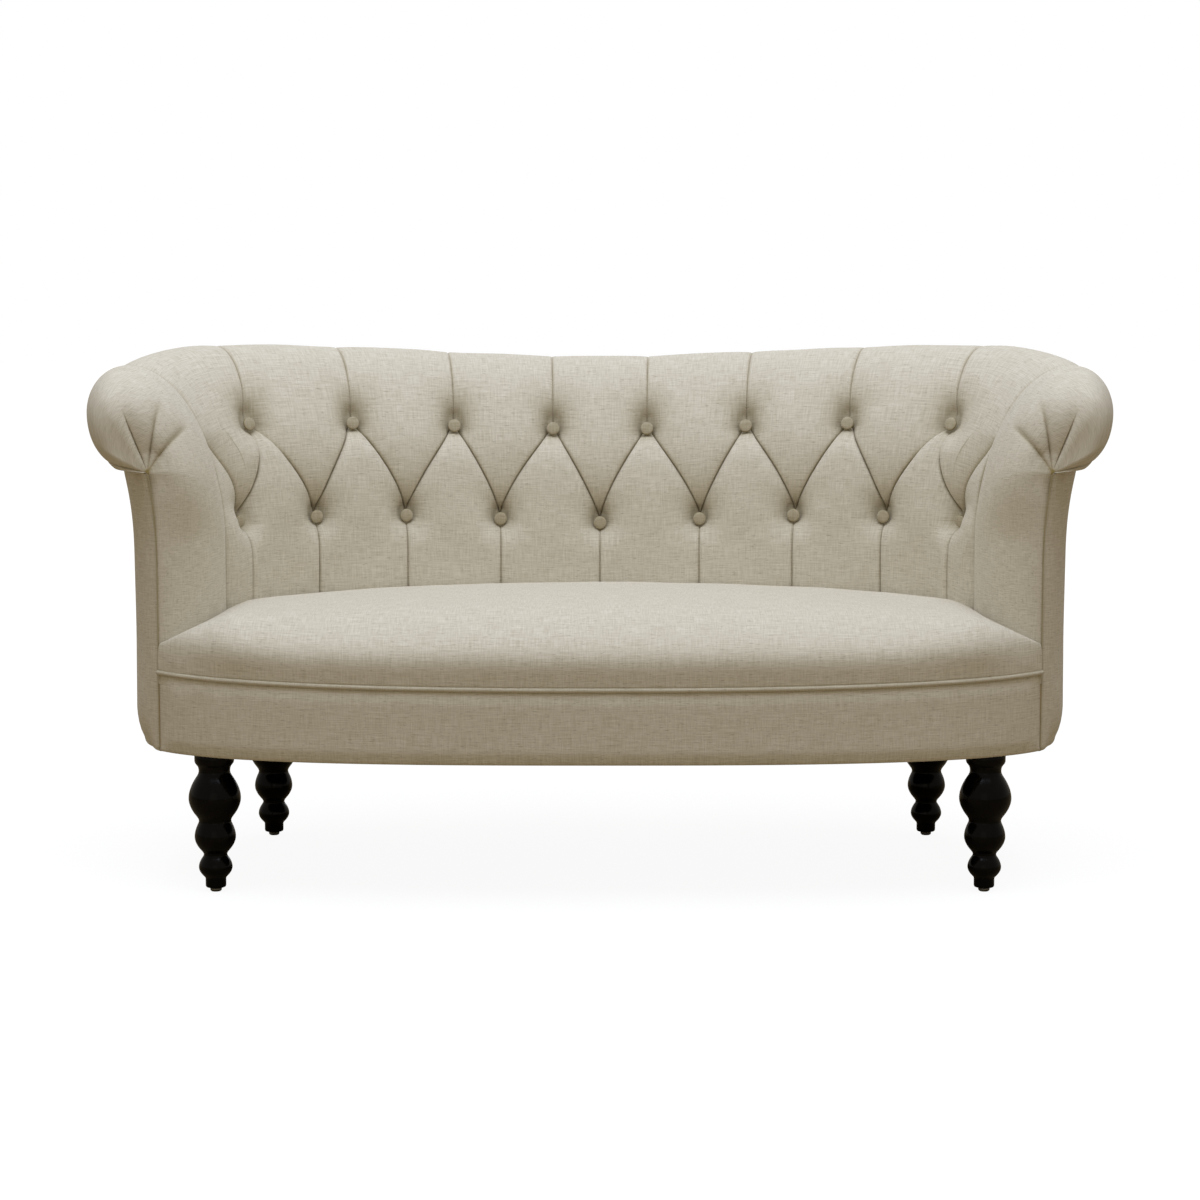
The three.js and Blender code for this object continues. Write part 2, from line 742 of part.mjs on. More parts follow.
// The outer face of the padding, bottom to scroll end, each point drawn in square to the face
function paddedRing(at, column) {
  const lowRows = steps(tuftSteps - lowestRow, lowestRow, tuftSteps);
  const outer = [[0, padBottom]];
  const lastAngle = crestAngle(at, rowHeight(at, tuftSteps));
  for (const row of lowRows) {
    const height = rowHeight(at, row);
    const [across, up] = facePoint(at, height);
    const slope = crestAngle(at, height);
    const depth = tuftDepth(column, row);
    outer.push([across + depth * Math.cos(slope), up - depth * Math.sin(slope)]);
  }
  steps(crestSteps, lastAngle, Math.PI / 2).slice(1).forEach((angle, i) => {
    const depth = tuftDepth(column, tuftSteps + 1 + i);
    const [across, up] = crestPoint(at, angle);
    outer.push([across + depth * Math.cos(angle), up - depth * Math.sin(angle)]);
  });
  steps(scrollSteps, Math.PI / 2, scrollEndAngle).slice(1).forEach((angle, i) => {
    const depth = tuftDepth(column, crestRow + 1 + i);
    const [across, up] = scrollPoint(at, angle);
    outer.push([across - depth * Math.cos(angle), up - depth * Math.sin(angle)]);
  });
  const back = rollAngles.toReversed().map((angle) => scrollPoint(at, angle, scrollPadding));
  const crestAngles = [...hessianAngles, ...railAngles.slice(0, -1)].reverse();
  const behind = crestAngles.map((angle) => crestPoint(at, angle, scrollPadding));
  const low = [seatBackHeight, padBottom].map((height) => [facePadding, height]);
  return [...outer, ...back, ...behind, ...low];
}

const outerPoints = 1 + crestRow - lowestRow + scrollSteps;

add('inside_back', sweepWall(-cornerColumn, cornerColumn, paddedRing, outerPoints, trim), linenColour);
for (const [name, side] of sides) {
  const pad = sweepWall(side * cornerColumn, side * lastColumn, paddedRing, outerPoints);
  add(`inside_arm_${name}`, pad, linenColour);
}

// Covered buttons, each with the tuft of cloth that draws it into its pit
function buttonGeometry() {
  const dome = steps(3, 0, Math.PI / 2).slice(0, -1).map((angle) => {
    const radius = buttonRadius * Math.cos(angle);
    return new THREE.Vector2(radius, buttonShank + buttonDome * Math.sin(angle));
  });
  const stem = [new THREE.Vector2(0, 0), new THREE.Vector2(buttonShankRadius, 0)];
  const profile = [...stem, ...dome, new THREE.Vector2(0, buttonShank + buttonDome)];
  return standing(new THREE.LatheGeometry(profile, 10));
}

function addButton(name, column, row) {
  const at = station(columnShare(column));
  const height = rowHeight(at, row);
  const slope = crestAngle(at, height);
  const [across, up] = facePoint(at, height);
  const depth = pitDepth - seatGap - buttonShankRadius;
  const spot = [across + depth * Math.cos(slope), up - depth * Math.sin(slope)];
  const outward = new THREE.Vector3(-at.dx * Math.cos(slope), -at.dy * Math.cos(slope), Math.sin(slope));
  const button = add(name, buttonGeometry(), linenColour);
  button.position.fromArray(place(at, spot));
  button.quaternion.setFromUnitVectors(new THREE.Vector3(0, 0, 1), outward.normalize());
}

const lowerColumns = [-8, -6, -4, -2, 0, 2, 4, 6, 8];
const upperColumns = [-7, -5, -3, -1, 1, 3, 5, 7];
lowerColumns.forEach((column, i) => addButton(`button_lower_${i + 1}`, column, 0));
upperColumns.forEach((column, i) => addButton(`button_upper_${i + 1}`, column, tuftSteps));

// Seat in plan: its front edge on the outline, its rear edge on the inner face and the arm fronts

function frontEdge(x) {
  return frontFrame(x).y;
}

// The arm front turns from the inner face at the arm line out to the front corner, as an ellipse
function rearEdge(x) {
  if (Math.abs(x) < innerHalfWidth) {
    return armLineY + innerDepth * superWidth(x / innerHalfWidth, innerExponentShare);
  }
  const out = (frontCornerX - Math.abs(x)) / (frontCornerX - innerHalfWidth);
  return armLineY + (frontCornerY - armLineY) * superWidth(out, 2);
}

function weltHeightAt(x) {
  return weltHeight + weltEndRise * (x / frontCornerX) ** 2;
}

function hemHeightAt(x) {
  return weltHeightAt(x) + weltRadius + seatGap;
}

// How far along its run to the front corner a place is
function cornerward(x, run) {
  return Math.max(0, Math.abs(x) + run - frontCornerX) / run;
}

// Height of the seat: rounded up from its hem above the welt, crowned over the middle, lower beside
// the arms. Its front corners are lowest and squarest.
function seatHeight(x, y) {
  const front = frontEdge(x);
  const rear = rearEdge(x);
  const fallShare = seatCornerFallShare * cornerward(x, seatCornerRun) ** seatCornerExponentShare;
  const level = seatBackHeight - seatSideFall * (x / innerHalfWidth) ** 2 - cushionRise * fallShare;
  const hem = hemHeightAt(x);
  const reach = Math.max(0, y - front);
  const radius = THREE.MathUtils.lerp(seatFrontRadius, seatCornerRadius, cornerward(x, seatRoundRun) ** 2);
  const round = superWidth(1 - Math.min(1, reach / radius), seatFrontExponentShare);
  const crown = Math.sin(Math.PI * Math.min(1, reach / (rear - front + seatGap)));
  return hem + (level - hem) * round + seatCrown * crown * superWidth(x / frontCornerX, 2);
}

// Section of the seat at one width, drawn in by an inset, and by less towards its hem
function seatLine(x, inset) {
  const front = frontEdge(x) + inset;
  const rear = Math.max(front + seatGap, rearEdge(x) - inset - seatTuckGap);
  const hem = hemHeightAt(x);
  return steps(seatPoints, 0, 1).map((share) => {
    const y = THREE.MathUtils.lerp(front, rear, 1 - Math.cos((share * Math.PI) / 2));
    const rise = seatHeight(x, y - inset * (1 - share)) - hem;
    return [x, y, hem + rise * (1 - inset / cushionRise)];
  });
}

function seatRing(x, inset) {
  const line = seatLine(x, inset);
  return [...line, [x, line.at(-1)[1], padBottom], [x, line[0][1], padBottom]];
}

const seatTurns = steps(24, -Math.PI / 2, Math.PI / 2);
const seatXs = seatTurns.map((turn) => (frontCornerX - seatEndInset) * Math.sin(turn));

// Welt along the front of the seat, and the border of cloth over the front rail
const weltSides = steps(8, 0, 2 * Math.PI).slice(0, -1);
const weltRing = (frame) => weltSides.map((angle) => {
  return [weltRadius * Math.cos(angle), weltHeightAt(frame.x) + weltRadius * Math.sin(angle)];
});
const weltHalf = frontCornerX - weltRadius;
add('seat_welt', sweepFrames(frontFrames(22, weltHalf), weltRing), linenFrontColour);

const borderRing = (frame) => {
  return rectangle(-panelThickness, 0, bodyBottom, weltHeightAt(frame.x) - weltRadius - seatGap);
};
add('front_border', sweepFrames(frontFrames(22), borderRing), linenFrontColour);

// Outside panels from under the scroll down to the rail, flared out to the scroll
function panelRing(frame, growth = 0) {
  const panelTop = scrollRailBottom(frame) - seatGap;
  const flareStart = frame.top - scrollHeight - panelFlareHeight;
  const flare = steps(3, flareStart, frame.top - scrollHeight);
  const heights = [bodyBottom, seatBackHeight, ...flare, panelTop].sort((low, high) => low - high);
  const outs = heights.map((height) => {
    const risen = Math.max(0, height - seatBackHeight) / (frame.top - seatBackHeight);
    return panelOffset(Math.min(height, frame.top - scrollHeight), frame.top) + frame.lean * risen;
  });
  const outer = heights.map((height, i) => [outs[i] + overrun * Math.sign(growth), height]);
  const inner = heights.map((height, i) => [outs[i] - panelThickness - growth, height]);
  return [...outer, ...inner.reverse()];
}

add('outside_back', sweepFrames(rearFrames, panelRing), linenColour);
for (const [name, side] of sides) {
  add(`outside_arm_${name}`, sweepFrames(sideFrames(side, 0), panelRing), linenColour);
}

// Arm posts and the arms' scroll rails, which run on over them
const armPostY = frontCornerY + armPostSetback;
const armRailEndY = armPostY - armPostDepth / 2;

function forwardRings(side, ringAt, endY) {
  const at = station(side);
  return steps(2, endY, armLineY).slice(0, -1).map((y) => ringAt.map(([across, height]) => {
    return [at.x + at.dx * across, y, height];
  }));
}

function armRailGeometry(side) {
  const shares = steps((lastColumn - cornerColumn) * tuftSteps, lastColumn, cornerColumn).map(columnShare);
  const rings = shares.map((share) => {
    const at = station(side * share);
    return scrollRailRing(at).map((point) => place(at, point));
  });
  return loft([...forwardRings(side, scrollRailRing(station(side)), armRailEndY), ...rings]);
}

function postBox(side, growth) {
  const bottom = railBottom - growth;
  const top = scrollRailBottom(station(side)) - seatGap + growth;
  const box = new THREE.BoxGeometry(armPostWidth + 2 * growth, armPostDepth + 2 * growth, top - bottom);
  return box.translate(side * armPostX, armPostY, (top + bottom) / 2);
}

for (const [name, side] of sides) {
  add(`arm_scroll_rail_${name}`, armRailGeometry(side), timberColour, timberRoughness);
  add(`arm_post_${name}`, postBox(side, 0), timberColour, timberRoughness);
}

// Padded arm fronts: each runs from the arm's own section to its front edge, rounded over, and the
// scroll above it is gathered in pleats to one place under the roll
const gatherHeight = armTopHeight - scrollHeight;
const frontAngles = steps(6, 0, Math.PI / 2);
const frontRollAngles = steps(6, Math.PI / 2, scrollEndAngle).slice(1);
const firstPleat = 6;

// How squarely the front is rounded: softly beside the seat, bluffly round the scroll
function bluffness(at, height) {
  const straight = levelAt(at, faceStraightShare);
  const share = ease((height - straight) / (gatherHeight - straight));
  return THREE.MathUtils.lerp(softFrontExponentShare, bluffFrontExponentShare, share);
}

function armFrontSection(at) {
  const low = [padBottom, seatBackHeight].map((height) => [0, height, bluffness(at, height)]);
  const crest = frontAngles.map((angle) => {
    const [across, height] = crestPoint(at, angle);
    return [across, height, bluffness(at, height)];
  });
  const roll = frontRollAngles.map((angle) => [...scrollPoint(at, angle), bluffFrontExponentShare]);
  return [...low, ...crest, ...roll];
}

// The front edge of the padding, just inside the outside panel
function armEdge(side, height, top) {
  const inset = panelThickness + seatGap + armFrontEdge;
  return onFrame(armFrontFrame(side, frontCornerY), [panelOffset(height, top) - inset, height]);
}

function armFrontRing(side, turn, growth = 0) {
  const at = station(side);
  const angle = (turn * Math.PI) / 2;
  const startY = armLineY - seatGap;
  const outer = armFrontSection(at).map(([across, height, exponent], i) => {
    const left = Math.pow(Math.cos(angle), 2 / exponent);
    const forward = Math.pow(Math.sin(angle), 2 / exponent);
    const [edgeX, edgeY, edgeHeight] = armEdge(side, Math.min(height, gatherHeight), at.top);
    const pleat = i >= firstPleat && i % 2 === 0 ? fanPleatDepth * Math.sin(2 * angle) : 0;
    const startX = side * (innerHalfWidth + across - growth);
    const x = THREE.MathUtils.lerp(edgeX, startX, left);
    const y = THREE.MathUtils.lerp(startY, edgeY - growth, forward);
    const z = THREE.MathUtils.lerp(edgeHeight, height, left);
    return [x, y + pleat, z - pleat];
  });
  const frameY = THREE.MathUtils.lerp(startY, frontCornerY, Math.sin(angle));
  const frame = armFrontFrame(side, frameY);
  const heights = [...steps(3, gatherHeight - seatGap, at.top - scrollHeight - panelFlareHeight), padBottom];
  const inner = heights.map((height) => {
    return onFrame(frame, [panelOffset(height, at.top) - panelThickness, height]);
  });
  return [...outer, ...inner];
}

function armFrontSolid(side, growth = 0) {
  return solidOf(loft(steps(9, 0, armFrontEndShare).map((turn) => armFrontRing(side, turn, growth))));
}

for (const [name, side] of sides) {
  const panelRoom = sweepFrames(sideFrames(side, 0), (frame) => panelRing(frame, seatGap));
  const front = armFrontSolid(side).subtract(solidOf(panelRoom));
  const railRoomRing = scrollRailRing(station(side), scrollPadding);
  const railRoom = [armRailEndY - seatGap, armLineY + overrun].map((y) => {
    return railRoomRing.map(([across, height]) => [side * (innerHalfWidth + across), y, height]);
  });
  const room = solidOf(loft(railRoom)).add(solidOf(postBox(side, seatGap)));
  add(`arm_front_${name}`, geometryOf(front.subtract(room)), linenColour);
}

// Seat foam and its cover, fitted between the arm fronts
const armFrontRoom = sides.map(([, side]) => armFrontSolid(side, 2 * seatGap));

function clearOfArmFronts(geometry) {
  return geometryOf(armFrontRoom.reduce((solid, room) => solid.subtract(room), solidOf(geometry)));
}

const seatCover = seatXs.map((x) => {
  const outer = seatLine(x, 0);
  const inner = seatLine(x, seatCoverThickness).reverse();
  const rear = [x, outer.at(-1)[1], padBottom];
  const rearInner = [x, inner[0][1], padBottom];
  return [...outer, rear, rearInner, ...inner];
});
add('seat_cover', clearOfArmFronts(loft(seatCover, (i, j) => j > seatPoints)), linenColour);

const foamRings = seatXs.slice(2, -2).map((x) => seatRing(x, seatCoverThickness + 2 * seatGap));
add('seat_foam', clearOfArmFronts(loft(foamRings)), foamColour);

// Webbing strained over the seat frame, one strap lapped on the next
function strap(width, length, x, y) {
  const box = new THREE.BoxGeometry(width, length, webThickness);
  return solidOf(box.translate(x, y, webTop - webThickness / 2));
}

function webbingGeometry() {
  const lap = panelThickness + seatGap + railThickness - webLap;
  const straps = lengthStrapShares.map((share) => {
    const x = share * bodyHalfWidth;
    const edge = (Math.abs(x) + webWidth / 2) / bodyHalfWidth;
    const front = armLineY - frontDepth * superWidth(edge, frontExponentShare) + lap;
    const rear = armLineY + rearDepth * superWidth(edge, rearExponentShare) - lap;
    return strap(webWidth, rear - front, x, (front + rear) / 2);
  });
  const crossing = crossStrapShares.map((share) => {
    const y = armLineY + share * rearDepth;
    const away = Math.abs(y - armLineY) + webWidth / 2;
    const depth = share < 0 ? frontDepth : rearDepth;
    const exponent = share < 0 ? frontExponentShare : rearExponentShare;
    const half = bodyHalfWidth * superWidth(away / depth, exponent) - lap;
    return strap(2 * half, webWidth, 0, y);
  });
  return geometryOf([...straps, ...crossing].reduce((joined, solid) => joined.add(solid)));
}

add('seat_webbing', webbingGeometry(), hessianColour);

// Dust cover tacked under the rails, pierced for the leg studs
function dustCoverGeometry() {
  const front = frontFrames(22);
  const right = sideFrames(1, 0).slice(1);
  const left = sideFrames(-1, 0).slice(1).reverse();
  const rear = rearFrames.toReversed().slice(1, -1);
  const outline = [...front, ...right, ...rear, ...left].map((frame) => {
    const [x, y] = onFrame(frame, [-panelThickness - seatGap, 0]);
    return new THREE.Vector2(x, y);
  });
  const shape = new THREE.Shape(outline);
  const sheet = new THREE.ExtrudeGeometry(shape, { depth: dustCoverThickness, bevelEnabled: false });
  const holes = legPlaces.map(({ x, y }) => studHole(x, y, studRadius + seatGap));
  const solid = solidOf(sheet.translate(0, 0, bodyBottom));
  return geometryOf(holes.reduce((cut, hole) => cut.subtract(hole), solid));
}

add('dust_cover', dustCoverGeometry(), cambricColour);

export default group;
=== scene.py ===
# A tufted settee in oatmeal linen on turned, ebonised legs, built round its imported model.
# Metres: +X to the right, the front to -Y, the floor at Z 0 and the origin under the middle.
import math

import bpy
import numpy as np
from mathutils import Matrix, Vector


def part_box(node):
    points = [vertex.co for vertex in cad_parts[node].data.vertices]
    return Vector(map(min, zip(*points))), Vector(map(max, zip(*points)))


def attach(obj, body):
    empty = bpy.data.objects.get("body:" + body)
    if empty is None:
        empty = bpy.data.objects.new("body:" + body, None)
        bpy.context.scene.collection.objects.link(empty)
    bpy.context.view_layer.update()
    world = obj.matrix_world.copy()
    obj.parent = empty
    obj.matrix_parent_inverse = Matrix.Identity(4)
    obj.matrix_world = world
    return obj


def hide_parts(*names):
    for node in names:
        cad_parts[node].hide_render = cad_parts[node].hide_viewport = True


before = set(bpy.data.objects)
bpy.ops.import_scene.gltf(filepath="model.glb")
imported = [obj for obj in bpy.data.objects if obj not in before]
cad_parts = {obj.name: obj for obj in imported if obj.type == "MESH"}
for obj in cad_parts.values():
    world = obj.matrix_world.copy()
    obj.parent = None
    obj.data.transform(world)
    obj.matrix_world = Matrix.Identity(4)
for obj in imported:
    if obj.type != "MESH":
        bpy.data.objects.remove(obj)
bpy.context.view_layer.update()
scene = bpy.context.scene

# Camera. The settee is seen square on from a little above its back, through a long lens that keeps
# its ends nearly upright.
camera = bpy.data.objects.new("camera", bpy.data.cameras.new("camera"))
scene.collection.objects.link(camera)
camera.data.lens = 86.31
camera.data.sensor_width = 36.0
camera.location = (0.0, -4.4155, 0.876)
camera.rotation_euler = (math.radians(90 - 6.15), 0, 0)
scene.camera = camera
scene.view_settings.view_transform = "Standard"


def linear(hex_colour):
    """A hex sRGB colour as the linear colour that a shader takes."""
    parts = [int(hex_colour[i:i + 2], 16) / 255 for i in (0, 2, 4)]
    return (*[c / 12.92 if c <= 0.04045 else ((c + 0.055) / 1.055) ** 2.4 for c in parts], 1.0)


def node(tree, kind, settings=None, **links):
    """Adds one shader node. A link is a value or the output that feeds the input of that name, or
    of that number, as in i0."""
    made = tree.nodes.new("ShaderNode" + kind)
    for key, value in (settings or {}).items():
        setattr(made, key, value)
    for key, value in links.items():
        name = key.replace("_", " ")
        numbered = name[0] == "i" and name[1:].isdigit()
        socket = made.inputs[int(name[1:]) if numbered else name]
        if isinstance(value, bpy.types.NodeSocket):
            tree.links.new(value, socket)
        else:
            socket.default_value = value
    return made


def new_material(name):
    """An empty node material and its tree, with the output node ready."""
    material = bpy.data.materials.new(name)
    material.use_nodes = True
    material.node_tree.nodes.clear()
    return material, material.node_tree, material.node_tree.nodes.new("ShaderNodeOutputMaterial")


def ramp(tree, grey, deep, pale, start=0.0, end=1.0):
    """Turns a grey into colours from a deep hex one to a pale one."""
    made = node(tree, "ValToRGB", Fac=grey)
    for stop, place, colour in zip(made.color_ramp.elements, (start, end), (deep, pale)):
        stop.position = place
        stop.color = linear(colour)
    return made.outputs[0]


# Studio. A pale floor that runs on into a white background, a broad cool light overhead, a weak
# warm one low in front and a weak cool one behind. The floor is seen nearly white, softly shadowed.
bpy.ops.object.select_all(action="DESELECT")
bpy.ops.mesh.primitive_plane_add(size=60, location=(0, 0, 0))
floor = bpy.context.object
floor.name = "studio_floor"
paper, tree, out = new_material("pale studio paper")
seen = node(tree, "LightPath").outputs["Is Camera Ray"]
where = node(tree, "TexCoord").outputs["Object"]
away = node(tree, "VectorMath", {"operation": "LENGTH"}, i0=where)
level = node(tree, "MapRange", Value=away.outputs["Value"], From_Min=1.2, From_Max=3.0, To_Min=0.93,
             To_Max=1.0)
glow = node(tree, "Emission", Color=(1, 1, 1, 1), Strength=level.outputs[0])
matt = node(tree, "BsdfDiffuse", Color=linear("585858"))
both = node(tree, "AddShader", i0=matt.outputs[0], i1=glow.outputs[0])
plain = node(tree, "BsdfDiffuse", Color=linear("9a896a"))
mixed = node(tree, "MixShader", i0=seen, i1=plain.outputs[0], i2=both.outputs[0])
tree.links.new(mixed.outputs[0], out.inputs["Surface"])
floor.data.materials.append(paper)

world = bpy.data.worlds.new("studio")
scene.world = world
world.use_nodes = True
tree = world.node_tree
tree.nodes.clear()
seen = node(tree, "LightPath").outputs["Is Camera Ray"]
fill = node(tree, "Background", Color=(1.0, 0.93, 0.82, 1), Strength=0.43)
white = node(tree, "Background", Color=(1, 1, 1, 1), Strength=1.0)
mixed = node(tree, "MixShader", i0=seen, i1=fill.outputs[0], i2=white.outputs[0])
tree.links.new(mixed.outputs[0], node(tree, "OutputWorld").inputs["Surface"])


def softbox(name, place, aim, size, power, colour):
    """A square area light at a place, turned to an aim."""
    lamp = bpy.data.lights.new(name, "AREA")
    lamp.shape = "SQUARE"
    lamp.size = size
    lamp.energy = power
    lamp.color = colour
    made = bpy.data.objects.new(name, lamp)
    scene.collection.objects.link(made)
    made.location = place
    made.rotation_euler = (Vector(aim) - Vector(place)).to_track_quat("-Z", "Y").to_euler()


softbox("softbox_overhead", (0, -0.9, 5.0), (0, -0.05, 0.4), 4.2, 194, (0.90, 1.0, 1.22))
softbox("softbox_front", (-0.4, -4.4, 1.0), (0, 0, 0.4), 2.2, 3, (1.0, 0.8, 0.55))
softbox("softbox_behind", (0.5, 4.8, 1.7), (0, 0.3, 0.4), 2.6, 30, (0.88, 1.0, 1.22))


# Legs. Beech turned into three balls between necks, with a collar under the seat rail, stained
# black-brown and polished. Each stands on a nickel-plated nail glide.
def ebonised_beech():
    """Black-brown stained beech under a polished coat: dark, glossy, with a faint warm grain."""
    material, tree, out = new_material("ebonised beech, polished")
    where = node(tree, "TexCoord")
    along = node(tree, "Mapping", Vector=where.outputs["Object"], Scale=(160, 160, 9))
    grain = node(tree, "TexNoise", Vector=along.outputs[0], Scale=1.0, Detail=3.0)
    tone = ramp(tree, grain.outputs[0], "020202", "080605", 0.35, 0.7)
    smear = node(tree, "TexNoise", Vector=where.outputs["Object"], Scale=40.0, Detail=2.0)
    rough = node(tree, "MapRange", Value=smear.outputs[0], To_Min=0.13, To_Max=0.21)
    bump = node(tree, "Bump", Height=grain.outputs[0], Strength=0.05, Distance=0.0004)
    shader = node(tree, "BsdfPrincipled", Base_Color=tone, Roughness=rough.outputs[0],
                  Normal=bump.outputs[0], Specular_IOR_Level=0.12)
    tree.links.new(shader.outputs[0], out.inputs["Surface"])
    return material


def turned(name, profile, place, sides, angle=50):
    """Turned work: a disc drawn up and sized ring by ring along a profile of radius and height."""
    bpy.ops.object.select_all(action="DESELECT")
    radius, height = profile[0]
    bpy.ops.mesh.primitive_circle_add(vertices=sides, radius=radius, fill_type="NGON",
                                      location=(place[0], place[1], place[2] + height))
    made = bpy.context.object
    made.name = name
    bpy.ops.object.transform_apply(location=True, rotation=False, scale=False)
    bpy.ops.object.mode_set(mode="EDIT")
    bpy.ops.mesh.select_all(action="SELECT")
    for wider, higher in profile[1:]:
        bpy.ops.mesh.extrude_region_move(TRANSFORM_OT_translate={"value": (0, 0, higher - height)})
        share = wider / radius
        bpy.ops.transform.resize(value=(share, share, 1),
                                 center_override=(place[0], place[1], place[2] + higher))
        radius, height = wider, higher
    bpy.ops.mesh.select_all(action="SELECT")
    bpy.ops.mesh.normals_make_consistent(inside=False)
    bpy.ops.object.mode_set(mode="OBJECT")
    bpy.ops.object.shade_smooth_by_angle(angle=math.radians(angle))
    return made


ball_power, cove_share = 0.56, 0.1


def ball(radius, height, below, above, count=24):
    """A full ball from the neck below it to just short of the neck above, with a small cove at each
    neck."""
    found = []
    for i in range(count):
        turn = -1 + 2 * i / count
        neck = below[0] if turn < 0 else above[0]
        reach = height - below[1] if turn < 0 else above[1] - height
        swelling = (1 + math.cos(turn * math.pi)) / 2
        cove = 1 - math.exp(-swelling / cove_share)
        fullness = swelling ** ball_power * cove ** (1 - ball_power)
        found.append((neck + (radius - neck) * fullness, height + reach * turn))
    return found


# Radius and height of the necks and, further down, of the whole profile
foot, low_neck = (0.015, 0.019), (0.0170, 0.055)
high_neck, top_neck = (0.0235, 0.105), (0.0228, 0.178)
leg_profile = [(0.0125, 0.006), (0.014, 0.0066), (0.0148, 0.008), (0.015, 0.010)]
leg_profile += ball(0.0245, 0.036, foot, low_neck)
leg_profile += ball(0.030, 0.081, low_neck, high_neck)
leg_profile += ball(0.038, 0.138, high_neck, top_neck)
leg_profile += [top_neck, (0.0230, 0.1815), (0.0240, 0.185), (0.0262, 0.188), (0.0281, 0.1905),
                (0.0288, 0.193), (0.0288, 0.2005), (0.0280, 0.2025)]
glide_profile = [(0.0065, 0.0), (0.008, 0.0012), (0.0085, 0.003), (0.0085, 0.0045), (0.006, 0.0058)]

leg_polish = ebonised_beech()
glide_steel, tree, out = new_material("nickel-plated steel")
shader = node(tree, "BsdfPrincipled", Base_Color=linear("9a9c9e"), Metallic=1.0, Roughness=0.3)
tree.links.new(shader.outputs[0], out.inputs["Surface"])

for corner in ("front_left", "front_right", "rear_left", "rear_right"):
    low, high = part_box("leg_" + corner)
    middle = ((low.x + high.x) / 2, (low.y + high.y) / 2, 0.0)
    leg = turned("turned_leg_" + corner, leg_profile, middle, 48)
    leg.data.materials.append(leg_polish)
    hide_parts("leg_" + corner)
    glide = turned("nail_glide_" + corner, glide_profile, middle, 24)
    glide.data.materials.append(glide_steel)
    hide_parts("glide_" + corner)
    for piece in (leg, glide):
        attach(piece, "root")


# Seat frame. Sawn beech rails, posts and scroll rails, glued and blocked at the corners, with jute
# hessian and webbing strained over them. All of it is inside the covers.
def sawn_beech():
    """Planed pale beech: a pinkish straw colour with fine grain along the piece."""
    material, tree, out = new_material("sawn beech")
    where = node(tree, "TexCoord")
    along = node(tree, "Mapping", Vector=where.outputs["Object"], Scale=(12, 140, 140))
    grain = node(tree, "TexNoise", Vector=along.outputs[0], Scale=1.0, Detail=4.0)
    tone = ramp(tree, grain.outputs[0], "b78f62", "d9bb8e")
    bump = node(tree, "Bump", Height=grain.outputs[0], Strength=0.2, Distance=0.0005)
    shader = node(tree, "BsdfPrincipled", Base_Color=tone, Roughness=0.7, Normal=bump.outputs[0])
    tree.links.new(shader.outputs[0], out.inputs["Surface"])
    return material


def jute():
    """Coarse plain-woven jute, its threads about 2 mm apart, straw brown and matt."""
    material, tree, out = new_material("woven jute")
    where = node(tree, "TexCoord")
    warp, weft = [node(tree, "TexWave", {"bands_direction": axis}, Vector=where.outputs["Object"],
                       Scale=160.0, Distortion=1.0) for axis in "XY"]
    weave = node(tree, "Math", {"operation": "MULTIPLY"}, i0=warp.outputs[1], i1=weft.outputs[1])
    tone = ramp(tree, weave.outputs[0], "6f5a38", "b79d6e")
    bump = node(tree, "Bump", Height=weave.outputs[0], Strength=0.5, Distance=0.001)
    shader = node(tree, "BsdfPrincipled", Base_Color=tone, Roughness=0.95, Normal=bump.outputs[0])
    tree.links.new(shader.outputs[0], out.inputs["Surface"])
    return material


def finish_node(name, material):
    """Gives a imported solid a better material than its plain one."""
    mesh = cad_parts[name].data
    mesh.materials.clear()
    mesh.materials.append(material)


beech = sawn_beech()
woven_jute = jute()
timbers = ["front_rail", "rear_rail", "back_stay", "back_scroll_rail", "back_tack_rail"]
timbers += [name + side for name in ("corner_post", "arm_post", "arm_scroll_rail", "arm_tack_rail")
            for side in ("_left", "_right")]
timbers += [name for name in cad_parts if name.startswith("corner_block")]
for name in timbers:
    finish_node(name, beech)
for name in ("hessian", "seat_webbing"):
    finish_node(name, woven_jute)


# Dust cover. Black cambric, stretched under the rails and tacked to them with its edge turned in;
# it hangs a few millimetres between the rails.
# The body's outline in plan is two half ovals that meet at the arm line, and its front corners are
# where the arm fronts end.
body_half, rear_depth, front_depth = 0.698, 0.355, 0.306
rear_power, front_power = 3.0, 2.9
corner_x = 0.648
body_bottom = 0.203
seat_level, back_top = 0.414, 0.768
welt_radius = 0.0036
scroll_overhang, scroll_height, back_lean = 0.062, 0.153, 0.034
risen = 1 - scroll_height / 2 / (back_top - seat_level)
arm_line = (front_depth + welt_radius - rear_depth - scroll_overhang - back_lean * risen) / 2


def swell(share, power):
    """Half width of a rounded oval at a share of its length."""
    return np.maximum(0.0, 1 - np.abs(share) ** power) ** (1 / power)


def ease(share):
    """From 0 to 1 with a soft start and end, and level beyond them."""
    held = np.clip(share, 0.0, 1.0)
    return held * held * (3 - 2 * held)


def mix(a, b, share):
    """What lies at a share of the way from a to b."""
    return a + (b - a) * share


def way_along(points):
    """How far along a line of points each one lies."""
    return np.append(0, np.cumsum(np.linalg.norm(np.diff(points, axis=0), axis=1)))


def square_to(x, y, half, depth, power):
    """The way out of a rounded oval at a place on it, in plan."""
    ahead = y - arm_line
    nx = np.sign(x) * (np.abs(x) / half) ** (power - 1) / half
    ny = np.sign(ahead) * (np.abs(ahead) / depth) ** (power - 1) / depth
    length = np.hypot(nx, ny)
    return nx / length, ny / length


def front_edge(x):
    """The front of the body outline at a place along the settee."""
    return arm_line - front_depth * swell(x / body_half, front_power)


corner_y = float(front_edge(corner_x))


